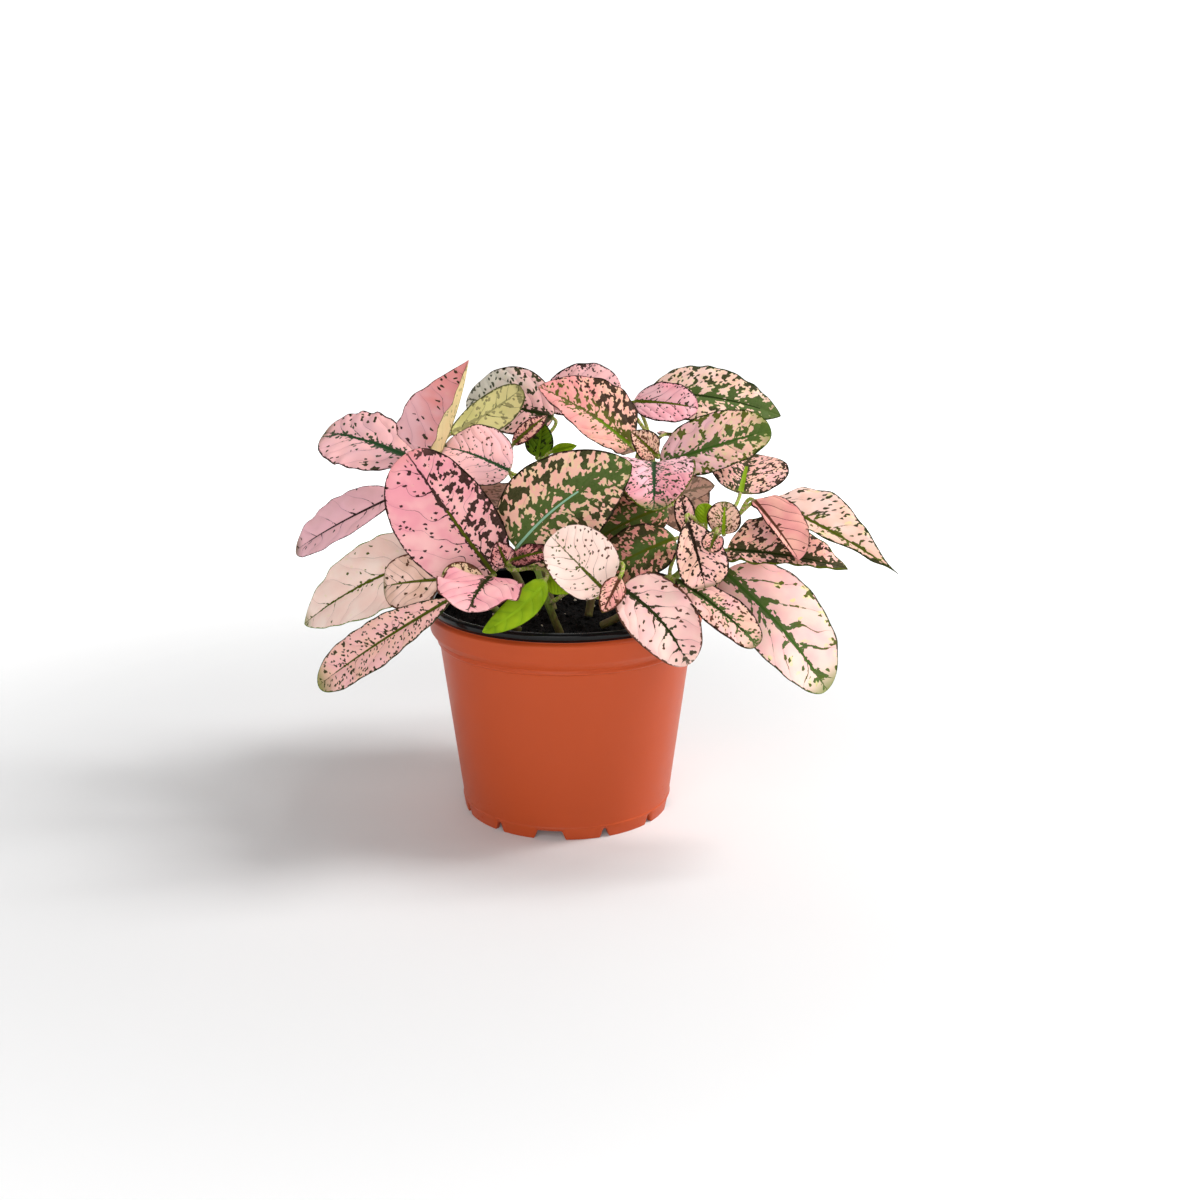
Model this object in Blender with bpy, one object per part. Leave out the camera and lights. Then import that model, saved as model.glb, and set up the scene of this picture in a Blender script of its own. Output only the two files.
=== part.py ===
"""Polka dot plant (Hypoestes) in a round 12 cm nursery pot: pot, potting soil, seven shoots and fifty-one leaves.

Lengths are millimetres here and metres in the scene. The origin is the pot's axis at the level it stands on,
+X runs across the plant's widest spread, -Y faces the front and +Z is up.
"""

import math

import bpy
import numpy as np

for old in list(bpy.data.objects):
    bpy.data.objects.remove(old, do_unlink=True)

MM = 0.001

# Pot: thin moulded shell with a rolled lip, a flared collar between a ridge and a bead, and a notched foot.
POT_HEIGHT = 96.5
LIP_RADIUS = 60.0
RIM_RADIUS = 58.4
RIDGE_RADIUS = 61.0
RIDGE_Z = 91.0
BAND_Z = 78.0
BEAD_RADIUS = 56.8
STEP_RADIUS = 55.9
FOOT_RADIUS = 46.2
FOOT_LAND = 2.0
FOOT_LINE_Z = 5.5
WALL = 1.2
FLOOR_Z = 4.6
FLOOR_THICKNESS = 1.4
NOTCH_HEIGHT = 4.0
FIRST_NOTCH = -98.0
NOTCH_PITCH = 30.0
WIDE_NOTCH = ((-9.0, 0.0), (-6.5, 1.0), (0.0, 1.0), (6.5, 1.0), (9.0, 0.0))
COLLAR_INSIDE = ((77.0, 54.7), (79.0, 55.0), (81.6, 56.8), (84.0, 58.2), (90.0, 58.9), (92.6, 58.0), (95.4, 57.2))
SMALL_NOTCH = ((-3.1, 0.0), (-0.5, 1.0), (0.5, 1.0), (3.1, 0.0))

# Soil: fills the pot to about 13 mm under the rim, and its top is a little uneven.
SOIL_TOP = 83.6
SOIL_LUMP = 0.7
SOIL_GAP = 0.3

# Shoots: three control points each, from the soil to the growing tip.
SHOOT_BASE_RADIUS = 1.9
SHOOT_TIP_RADIUS = 1.2
SHOOTS = {
    "a": ((-14, 6, 85), (-26, 10, 118), (-56, 9, 150)),
    "b": ((-20, -16, 85), (-32, -24, 100), (-48, -24, 112)),
    "c": ((-2, -20, 85), (-8, -28, 102), (-12, -36, 122)),
    "d": ((10, 6, 85), (16, 14, 125), (38, 6, 166)),
    "e": ((-6, 16, 85), (-16, 26, 120), (-11, 33, 161)),
    "f": ((16, -12, 86), (46, -24, 104), (66, -40, 138)),
    "g": ((16, 20, 86), (28, 44, 110), (42, 52, 142)),
}

# Leaves. Each row: name, shoot, place on the shoot (0 to 1), blade base, blade tip, width, the direction the
# blade faces (azimuth from -Y towards +X, elevation), and what departs from the plain blade below.
PLAIN = dict(p=0.55, q=0.8, arch=0.08, side=0.0, fold=0.12, cup=0.0, twist=0.0, skew=0.0, wave=0.0)
LEAVES = [
    ("a1", "a", 0.90, (-68, 9, 156), (-108, 28, 164), 32, -8, 48, dict(p=0.5, q=0.48, skew=0.1)),
    ("a2", "a", 1.00, (-58, 3, 152), (-41, 6, 199), 38, -56, 8, dict(p=0.45, q=1.0, fold=0.8, arch=-0.05, skew=0.1)),
    ("a3", "a", 0.72, (-76, 26, 136), (-128, 48, 105), 27, 0, 50, dict(p=0.6, q=0.5, arch=0.03, skew=-0.1)),
    ("a4", "a", 0.97, (-50, 14, 166), (-19, 20, 185), 18, 150, -10, dict(p=0.6, q=0.45, fold=0.2)),
    ("b1", "b", 0.90, (-58, -6, 115), (-116, 0, 83), 40, -8, 50, dict(p=0.42, q=0.75)),
    ("b2", "b", 0.60, (-46, -40, 106), (-105, -32, 65), 22, 2, 42, dict(p=0.8, q=0.5, arch=0.04)),
    ("b3", "b", 1.00, (-29, -36, 116), (-62, -46, 168), 41, -12, 20, dict(p=0.4, q=0.42, arch=0.05, skew=0.14)),
    ("b4", "b", 0.45, (-29, -52, 118), (-36, -81, 112), 35, 0, 66, dict(p=0.45, q=0.5, wave=0.07)),
    ("b5", "b", 0.97, (-33, -46, 112), (-49, -49, 119), 15, 0, 30, dict(p=0.5, q=0.5)),
    ("b6", "b", 0.75, (-53, -25, 110), (-77, -21, 106), 25, -5, 30, dict(p=0.5, q=0.45)),
    ("c1", "c", 1.00, (-19, -38, 127), (28, -50, 164), 44, 0, 26, dict(p=0.35, q=0.7, side=0.06, arch=0.04, skew=-0.05)),
    ("c2", "c", 0.60, (17, -60, 115), (-4, -64, 138), 27, -8, 20, dict(p=0.4, q=0.4, skew=-0.15)),
    ("c3", "c", 0.45, (23, -67, 122), (16, -72, 109), 10, 5, 20, dict()),
    ("c4", "c", 0.96, (-21, -48, 124), (-2, -52, 129), 11, 0, 50, dict()),
    ("c6", "c", 0.90, (-23, -41, 120), (-27, -43, 131), 11, 0, 30, dict()),
    ("c7", "c", 0.90, (-7, -57, 118), (-31, -75, 102), 12, 30, 30, dict(p=0.5, q=0.7, side=0.06)),
    ("c8", "c", 0.70, (-6, -50, 117), (4, -58, 113), 12, 10, 20, dict(side=0.1)),
    ("d1", "d", 0.92, (28, -6, 164), (-11, -6, 189), 28, 14, 34, dict(p=0.45, side=-0.03, arch=0.05, skew=-0.25)),
    ("d2", "d", 0.97, (36, 30, 181), (94, 12, 174), 33, 8, 48, dict(p=0.5)),
    ("d3", "d", 0.99, (30, 6, 181), (57, 0, 179), 19, 0, 35, dict(p=0.5, q=0.5)),
    ("d4", "d", 0.96, (41, -8, 156), (87, -14, 172), 29, 8, 44, dict(p=0.42, q=0.45, arch=0.03, skew=0.1)),
    ("d5", "d", 0.88, (38, -14, 158), (37, -44, 144), 35, 0, 66, dict(p=0.35, q=0.5, fold=0.25, arch=0.15)),
    ("d6", "d", 0.60, (43, -22, 141), (8, -31, 125), 28, -6, 42, dict(p=0.5, q=0.5)),
    ("d7", "d", 0.80, (46, -12, 143), (64, -12, 148), 15, 0, 150, dict()),
    ("d8", "d", 0.98, (39, -8, 160), (28, -12, 171), 13, 0, 35, dict()),
    ("d9", "d", 0.80, (32, 26, 160), (26, 56, 149), 28, 185, 55, dict()),
    ("e1", "e", 0.80, (-24, 3, 151), (-53, 9, 161), 33, 0, 50, dict(p=0.5, q=0.6, arch=0.08)),
    ("e2", "e", 1.00, (-6, 38, 169), (-46, 50, 176), 33, -8, 32, dict(q=0.6, skew=-0.15)),
    ("e3", "e", 1.00, (-10, 47, 175), (25, 44, 181), 27, 0, 36, dict(p=0.5, q=0.45, skew=0.1)),
    ("e4", "e", 0.60, (-23, 16, 161), (-8, 22, 173), 8, 0, 30, dict()),
    ("e5", "e", 0.90, (-13, 24, 154), (-10, 26, 169), 13, 0, 20, dict()),
    ("e6", "e", 0.75, (-6, 20, 157), (5, 18, 160), 5, 10, 20, dict()),
    ("e7", "e", 0.60, (4, 48, 143), (21, 77, 120), 38, 170, 50, dict()),
    ("e8", "e", 0.50, (-13, 48, 134), (-44, 75, 113), 38, 200, 50, dict()),
    ("e9", "e", 0.35, (-26, 38, 126), (-76, 62, 104), 38, 215, 50, dict()),
    ("f1", "f", 0.98, (74, -22, 147), (80, 3, 159), 35, 10, 60, dict(p=0.45, q=0.5, fold=0.2, arch=0.05, skew=-0.05)),
    ("f2", "f", 0.93, (83, -34, 146), (130, -80, 127), 25, 16, 48, dict(p=0.7, q=1.6, arch=0.04, skew=0.4)),
    ("f3", "f", 0.85, (67, -46, 128), (115, -54, 122), 25, 4, 56, dict(p=0.35, q=0.85, arch=0.05, skew=0.45)),
    ("f4", "f", 1.00, (77, -48, 149), (94, -62, 128), 14, 10, 20, dict(p=0.5, q=0.5, fold=0.2, skew=0.65)),
    ("f5", "f", 1.00, (65, -50, 136), (65, -54, 150), 14, -10, 15, dict(p=0.5, q=0.45)),
    ("f6", "f", 0.72, (61, -60, 138), (58, -65, 132), 9, 0, 20, dict(p=0.5, q=0.45)),
    ("f7", "f", 0.81, (58, -46, 139), (57, -44, 147), 8, 0, 20, dict(p=0.5, q=0.45)),
    ("f8", "f", 0.90, (50, -54, 142), (57, -64, 117), 21, 6, 20, dict(p=0.75, q=0.38, skew=0.1)),
    ("f9", "f", 0.75, (52, -43, 132), (48, -41, 150), 9, 0, 15, dict(p=0.6, q=0.5)),
    ("f10", "f", 0.65, (66, -43, 118), (108, -58, 72), 38, 22, 34, dict(p=0.4, q=0.5, skew=0.12)),
    ("f11", "f", 0.50, (46, -52, 117), (77, -77, 97), 17, 16, 36, dict(p=0.7, q=0.4)),
    ("f12", "f", 0.30, (24, -62, 116), (50, -71, 87), 28, 8, 26, dict(p=0.38, q=0.5, side=0.07, skew=0.05)),
    ("f13", "f", 0.55, (46, -38, 131), (16, -44, 118), 24, -4, 34, dict(p=0.5, q=0.5)),
    ("g1", "g", 1.00, (46, 55, 159), (79, 77, 143), 38, 140, 50, dict()),
    ("g2", "g", 0.85, (42, 62, 140), (58, 79, 105), 38, 160, 40, dict()),
    ("g3", "g", 0.55, (28, 50, 121), (8, 77, 99), 38, 185, 40, dict()),
]
PETIOLE_RADIUS = 0.8
BLADE_HALF_THICKNESS = 0.28
PETIOLE_STATIONS = (0.0, 0.25, 0.5, 0.75)
BLADE_STATIONS = (0.0, 0.05, 0.14, 0.27, 0.42, 0.57, 0.72, 0.86, 0.95)
RING = ((-1.0, 0.0), (-0.6, 0.8), (0.0, 1.0), (0.6, 0.8), (1.0, 0.0), (0.6, -0.8), (0.0, -1.0), (-0.6, -0.8))
GAP = 0.35


def unit(vector):
    """The vector or row vectors scaled to length one."""
    vector = np.asarray(vector, float)
    return vector / np.linalg.norm(vector, axis=-1, keepdims=True)


def add_body(name, points, faces, colour, roughness):
    """One closed mesh object with its own material, from millimetre points and polygon faces."""
    mesh = bpy.data.meshes.new(name)
    mesh.from_pydata((np.asarray(points, float) * MM).tolist(), [], faces)
    mesh.update()
    mesh.shade_smooth()
    body = bpy.data.objects.new(name, mesh)
    bpy.context.scene.collection.objects.link(body)
    material = bpy.data.materials.new(name)
    material.use_nodes = True
    shader = material.node_tree.nodes["Principled BSDF"]
    shader.inputs["Base Color"].default_value = (*colour, 1.0)
    shader.inputs["Roughness"].default_value = roughness
    shader.inputs["Metallic"].default_value = 0.0
    mesh.materials.append(material)
    return body


def sleeve_faces(rings, around):
    """Quads between successive closed rings, each of the same number of points."""
    faces = []
    for ring in range(rings - 1):
        for k in range(around):
            a = ring * around + k
            b = ring * around + (k + 1) % around
            faces.append((a, b, b + around, a + around))
    return faces


def foot_edge():
    """Angles round the foot in degrees, and how much of the notch height the lower edge rises at each."""
    samples = {}
    for notch in range(12):
        centre = FIRST_NOTCH + NOTCH_PITCH * notch
        for offset, rise in WIDE_NOTCH if notch % 3 == 0 else SMALL_NOTCH:
            samples[centre + offset] = rise
        gap_start = centre + (9.0 if notch % 3 == 0 else 3.1)
        gap_end = centre + NOTCH_PITCH - (9.0 if (notch + 1) % 3 == 0 else 3.1)
        for part in (1, 2, 3):
            samples[gap_start + (gap_end - gap_start) * part / 4] = 0.0
    angles = sorted(samples)
    return np.radians(angles), np.array([samples[a] for a in angles])


def make_pot():
    """The shell as one turned profile, closed through the floor, with the notches raised in its lower edge."""
    slope = (STEP_RADIUS - FOOT_RADIUS) / BAND_Z
    inner_foot = FOOT_RADIUS + slope * FLOOR_Z - WALL
    top = FLOOR_Z + FLOOR_THICKNESS
    profile = [
        (FOOT_RADIUS - FOOT_LAND, 0.0),
        (FOOT_RADIUS, 0.0),
        (FOOT_RADIUS + slope * FOOT_LINE_Z + 0.25, FOOT_LINE_Z),
        (FOOT_RADIUS + slope * FOOT_LINE_Z - 0.1, FOOT_LINE_Z + 0.5),
        (STEP_RADIUS - 0.1, BAND_Z - 0.7),
        (BEAD_RADIUS, BAND_Z),
        (BEAD_RADIUS, BAND_Z + 0.5),
        (56.3, BAND_Z + 1.6),
        (58.2, 81.4),
        (59.6, 83.4),
        (60.4, 87.5),
        (RIDGE_RADIUS, RIDGE_Z),
        (RIDGE_RADIUS - 0.5, RIDGE_Z + 0.6),
        (59.2, 92.4),
        (59.3, 93.0),
        (LIP_RADIUS, 93.9),
        (LIP_RADIUS, 95.4),
        (LIP_RADIUS - 0.7, 96.2),
        (RIM_RADIUS, POT_HEIGHT),
        (57.6, POT_HEIGHT - 0.3),
        *[(radius, z) for z, radius in COLLAR_INSIDE[::-1]],
        (FOOT_RADIUS + slope * top - WALL, top),
    ]
    outer = np.array(profile)
    angles, rise = foot_edge()
    around = len(angles)
    ring = np.stack([np.cos(angles), np.sin(angles)], -1)
    points = []
    for index, (radius, z) in enumerate(outer):
        height = np.full(around, z)
        if index < 2:
            height = height + rise * NOTCH_HEIGHT
        points.append(np.column_stack([ring * radius, height]))
    faces = sleeve_faces(len(outer), around)
    points = np.concatenate(points)
    points = np.vstack([points, [(0.0, 0.0, top)]])
    hub = len(points) - 1
    last = (len(outer) - 1) * around
    for k in range(around):
        faces.append((last + k, last + (k + 1) % around, hub))
    # The underside: up inside the skirt and across under the floor.
    under = len(points)
    skirt = np.column_stack([ring * inner_foot, np.full(around, FLOOR_Z)])
    points = np.vstack([points, skirt, [(0.0, 0.0, FLOOR_Z)]])
    for k in range(around):
        n = (k + 1) % around
        faces.append((n, k, under + k, under + n))
        faces.append((under + n, under + k, under + around))
    return add_body("pot", points, faces, (0.55, 0.14, 0.05), 0.38)


def inner_radius(z):
    """Inside radius of the pot at a height."""
    slope = (STEP_RADIUS - FOOT_RADIUS) / BAND_Z
    heights, radii = zip((0.0, FOOT_RADIUS - WALL), (76.0, FOOT_RADIUS + slope * 76.0 - WALL), *COLLAR_INSIDE)
    return float(np.interp(z, heights, radii))


def make_soil():
    """The filling as one turned body whose top has low lumps."""
    around = 36
    angles = np.linspace(0, 2 * math.pi, around, endpoint=False)
    bottom = FLOOR_Z + FLOOR_THICKNESS + SOIL_GAP
    rows = [(inner_radius(z) - SOIL_GAP - 0.1, z) for z in (bottom, BAND_Z - 1.0, BAND_Z + 1.0, 81.6, SOIL_TOP)]
    rows += [(radius, SOIL_TOP) for radius in (44.0, 32.0, 19.0, 8.0)]
    points = []
    for index, (radius, z) in enumerate(rows):
        x, y = radius * np.cos(angles), radius * np.sin(angles)
        lump = SOIL_LUMP * (np.sin(0.21 * x + 0.6) * np.cos(0.17 * y) + 0.5 * np.sin(0.33 * (x + y)))
        height = z + (lump if index > 4 else 0.0)
        points.append(np.column_stack([x, y, np.broadcast_to(height, around)]))
    points = np.concatenate(points)
    points = np.vstack([points, [(0, 0, SOIL_TOP), (0, 0, bottom)]])
    faces = sleeve_faces(len(rows), around)
    last = (len(rows) - 1) * around
    for k in range(around):
        n = (k + 1) % around
        faces.append((last + k, last + n, len(points) - 2))
        faces.append((n, k, len(points) - 1))
    return add_body("soil", points, faces, (0.012, 0.009, 0.007), 0.95)


def shoot_curve(shoot, t):
    """Points, unit tangents and radii of a shoot's quadratic curve at t."""
    a, b, c = (np.array(p, float) for p in SHOOTS[shoot])
    t = np.asarray(t, float)[..., None]
    point = a * (1 - t) ** 2 + 2 * b * t * (1 - t) + c * t**2
    tangent = unit(2 * (b - a) * (1 - t) + 2 * (c - b) * t)
    radius = SHOOT_BASE_RADIUS + (SHOOT_TIP_RADIUS - SHOOT_BASE_RADIUS) * t[..., 0]
    return point, tangent, radius


def carried_frames(tangents, first):
    """Normals carried along a path without twist, starting from one that is square to the first tangent."""
    normals = [unit(first - np.dot(first, tangents[0]) * tangents[0])]
    for tangent in tangents[1:]:
        normals.append(unit(normals[-1] - np.dot(normals[-1], tangent) * tangent))
    return np.array(normals)


def make_shoot(shoot):
    """A tapering round stem along the shoot's curve, closed at both ends."""
    around = 8
    point, tangent, radius = shoot_curve(shoot, np.linspace(0, 1, 9))
    normal = carried_frames(tangent, np.array((0.0, 1.0, 0.0)))
    across = np.cross(normal, tangent)
    angles = np.linspace(0, 2 * math.pi, around, endpoint=False)
    round_ = np.cos(angles)[None, :, None] * across[:, None] + np.sin(angles)[None, :, None] * normal[:, None]
    points = (point[:, None] + radius[:, None, None] * round_).reshape(-1, 3)
    points = np.vstack([points, point[0], point[-1] + tangent[-1] * SHOOT_TIP_RADIUS * 0.6])
    faces = sleeve_faces(9, around)
    for k in range(around):
        n = (k + 1) % around
        faces.append((n, k, len(points) - 2))
        faces.append((8 * around + k, 8 * around + n, len(points) - 1))
    return add_body("shoot_" + shoot, points, faces, (0.10, 0.17, 0.04), 0.5)


def outline(s, p, q):
    """Half-width along the blade as a share of the widest, from 0 at the base to 0 at the tip."""
    widest = p / (p + q)
    return (s / widest) ** p * ((1 - s) / (1 - widest)) ** q


def facing(azimuth, elevation):
    """The unit direction the upper side faces."""
    a, e = math.radians(azimuth), math.radians(elevation)
    return np.array((math.sin(a) * math.cos(e), -math.cos(a) * math.cos(e), math.sin(e)))


def leaf_stations(row):
    """Centre, across, normal, half-width, half-thickness and progress along the blade, at each station of a leaf."""
    name, shoot, place, base, tip, width, azimuth, elevation, own = row
    own = {**PLAIN, **own}
    base, tip = np.array(base, float), np.array(tip, float)
    axis = tip - base
    length = np.linalg.norm(axis)
    along = axis / length
    face = facing(azimuth, elevation)
    face = unit(face - np.dot(face, along) * along)
    left = np.cross(face, along)
    s = np.array(BLADE_STATIONS + (1.0,))[:, None]
    bend = own["arch"] * face + own["side"] * left
    centre = base + axis * s + 4 * s * (1 - s) * length * bend
    tangent = unit(axis + 4 * (1 - 2 * s) * length * bend)
    normal = unit(face - (tangent @ face)[:, None] * tangent)
    turn = np.radians(own["twist"]) * (s - 0.4)
    flat = np.cross(normal, tangent)
    normal, flat = normal * np.cos(turn) + flat * np.sin(turn), flat * np.cos(turn) - normal * np.sin(turn)
    # The petiole leaves the shoot square to it and meets the blade along the midrib.
    root, stem, radius = shoot_curve(shoot, place)
    out = (base - root) - np.dot(base - root, stem) * stem
    out = unit(out)
    start_way = unit(out + 0.7 * stem)
    start = root + out * (radius + GAP + PETIOLE_RADIUS * np.dot(start_way, stem))
    reach = np.linalg.norm(base - start) * 0.38
    u = np.array(PETIOLE_STATIONS)[:, None]
    knots = (start, start + start_way * reach, base - tangent[0] * reach, base)
    weights = ((1 - u) ** 3, 3 * u * (1 - u) ** 2, 3 * u**2 * (1 - u), u**3)
    path = sum(w * k for w, k in zip(weights, knots))
    slopes = (3 * (1 - u) ** 2, 6 * u * (1 - u), 3 * u**2)
    path_tangent = unit(sum(w * (b - a) for w, a, b in zip(slopes, knots, knots[1:])))
    path_normal = carried_frames(path_tangent[::-1], normal[0])[::-1]
    path_flat = np.cross(path_normal, path_tangent)
    half = np.sqrt((width / 2 * outline(s[:, 0], own["p"], own["q"])) ** 2 + (PETIOLE_RADIUS * (1 - s[:, 0])) ** 2)
    thick = BLADE_HALF_THICKNESS + (PETIOLE_RADIUS - BLADE_HALF_THICKNESS) * (1 - s[:, 0]) ** 6
    stalk = np.full(len(u), PETIOLE_RADIUS)
    return (
        np.vstack([path, centre]),
        np.vstack([path_flat, flat]),
        np.vstack([path_normal, normal]),
        np.concatenate([stalk, half]),
        np.concatenate([stalk, thick]),
        np.concatenate([np.zeros(len(u)), s[:, 0]]),
        own,
    )


def blade_faces(rings):
    """Triangles between a leaf's rings. The upper and under sides split alike, so neither passes through the other."""
    around = len(RING)
    faces = []
    for k in range(around):
        for ring in range(rings - 1):
            a, b = ring * around + k, ring * around + (k + 1) % around
            c, d = b + around, a + around
            faces += [(d, c, b), (d, b, a)] if k % 4 < 2 else [(d, c, a), (c, b, a)]
    return faces


def make_leaf(row):
    """One leaf: a round petiole that widens into a folded, gently ruffled blade, closed at its foot and tip."""
    centre, flat, normal, half, thick, s, own = leaf_stations(row)
    ring = np.array(RING)
    v, h = ring[:, 0][None], ring[:, 1][None]
    w = half[:, None] * (1 + own["skew"] * np.sign(v) * np.minimum(1, 8 * s[:, None]))
    ruffle = own["wave"] * half[:, None] * 2 * v * v * np.sin(5 * math.pi * s[:, None] + 1.3 * np.sign(v))
    lift = w * (own["fold"] * np.abs(v) + own["cup"] * v * v) * np.minimum(1, 8 * s[:, None])
    lift = lift + ruffle * np.minimum(1, 5 * s * (1 - s))[:, None] + thick[:, None] * h
    spread = w * v / math.sqrt(1 + own["fold"] ** 2)
    points = centre[:, None] + flat[:, None] * spread[..., None] + normal[:, None] * lift[..., None]
    points = np.vstack([points[:-1].reshape(-1, 3), centre[0], centre[-1]])
    rings, around = len(s) - 1, len(RING)
    faces = blade_faces(rings)
    for k in range(around):
        n = (k + 1) % around
        faces.append((k, n, len(points) - 2))
        faces.append(((rings - 1) * around + n, (rings - 1) * around + k, len(points) - 1))
    return add_body("leaf_" + row[0], points, faces, (0.80, 0.36, 0.34), 0.5)


make_pot()
make_soil()
for shoot_name in SHOOTS:
    make_shoot(shoot_name)
for leaf_row in LEAVES:
    make_leaf(leaf_row)
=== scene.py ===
"""Polka dot plant in a terracotta-coloured nursery pot: the fine model and its finishes.

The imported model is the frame. Every piece stands for one of its nodes, lies where that node lies and rides
on the one body. Sizes are millimetres here and metres in the scene; +X is right, -Y the front, +Z up.
"""

from __future__ import annotations

import logging
import math
from collections.abc import Callable
from dataclasses import dataclass
from enum import Enum

import bpy
import numpy as np
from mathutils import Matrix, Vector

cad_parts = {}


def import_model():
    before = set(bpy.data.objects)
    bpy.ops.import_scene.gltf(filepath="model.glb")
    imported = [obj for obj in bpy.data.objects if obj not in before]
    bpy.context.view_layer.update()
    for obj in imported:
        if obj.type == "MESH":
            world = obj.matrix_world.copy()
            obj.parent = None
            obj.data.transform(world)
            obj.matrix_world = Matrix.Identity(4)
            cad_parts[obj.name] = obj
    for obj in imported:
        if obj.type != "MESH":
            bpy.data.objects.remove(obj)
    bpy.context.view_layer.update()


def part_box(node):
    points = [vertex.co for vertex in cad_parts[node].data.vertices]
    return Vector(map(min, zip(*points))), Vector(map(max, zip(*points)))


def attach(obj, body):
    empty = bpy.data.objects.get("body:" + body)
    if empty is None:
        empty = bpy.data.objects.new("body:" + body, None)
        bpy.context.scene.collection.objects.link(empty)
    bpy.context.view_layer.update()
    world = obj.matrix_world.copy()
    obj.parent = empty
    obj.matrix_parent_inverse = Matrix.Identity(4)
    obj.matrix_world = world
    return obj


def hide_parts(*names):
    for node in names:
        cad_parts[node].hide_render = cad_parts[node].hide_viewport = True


LOG = logging.getLogger("polka_dot_plant")
MM = 0.001
BODY = "root"

Colour = tuple[float, float, float]
Point = tuple[float, float, float]
Paint = Colour | bpy.types.NodeSocket


def paint(*channels: int) -> Colour:
    """Turn a display colour, red, green and blue from 0 to 255, into the linear light that shaders take."""
    shares = np.array(channels) / 255
    return tuple(np.where(shares <= 0.04045, shares / 12.92, ((shares + 0.055) / 1.055) ** 2.4).tolist())


# ---- shader building ----


def operation(name: str, turned: bool = False) -> Callable[[Number, Number | float], Number]:
    """Make a method that adds a Math node for two values.

    Args:
        name: The node's operation.
        turned: Whether the other value comes first.

    Returns:
        The method.
    """

    def method(self: Number, other: Number | float) -> Number:
        """The node's result."""
        return self.math(name, other, self) if turned else self.math(name, self, other)

    return method


class Number:
    """A socket that carries one number, with arithmetic that adds the Math nodes."""

    def __init__(self, graph: Graph, socket: bpy.types.NodeSocket) -> None:
        """Keep the socket and the graph that it belongs to."""
        self.graph = graph
        self.socket = socket

    def math(self, name: str, *values: Number | float) -> Number:
        """The result of a Math node with these values in order."""
        return self.graph.number("ShaderNodeMath", {"operation": name}, dict(enumerate(values)))

    __add__ = __radd__ = operation("ADD")
    __mul__ = __rmul__ = operation("MULTIPLY")
    __sub__ = operation("SUBTRACT")
    __rsub__ = operation("SUBTRACT", turned=True)
    __truediv__ = operation("DIVIDE")
    __pow__ = operation("POWER")
    __gt__ = operation("GREATER_THAN")
    __lt__ = operation("LESS_THAN")
    larger = operation("MAXIMUM")

    def __abs__(self) -> Number:
        """The size without its sign."""
        return self.math("ABSOLUTE", self)

    def fract(self) -> Number:
        """The part above the whole number below."""
        return self.math("FRACT", self)

    def ramp(self, start: Number | float, end: Number | float) -> Number:
        """A smooth step from 0 at start to 1 at end; start may be the greater."""
        inputs = {"Value": self, "From Min": start, "From Max": end}
        return self.graph.number("ShaderNodeMapRange", {"interpolation_type": "SMOOTHSTEP"}, inputs)


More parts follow.
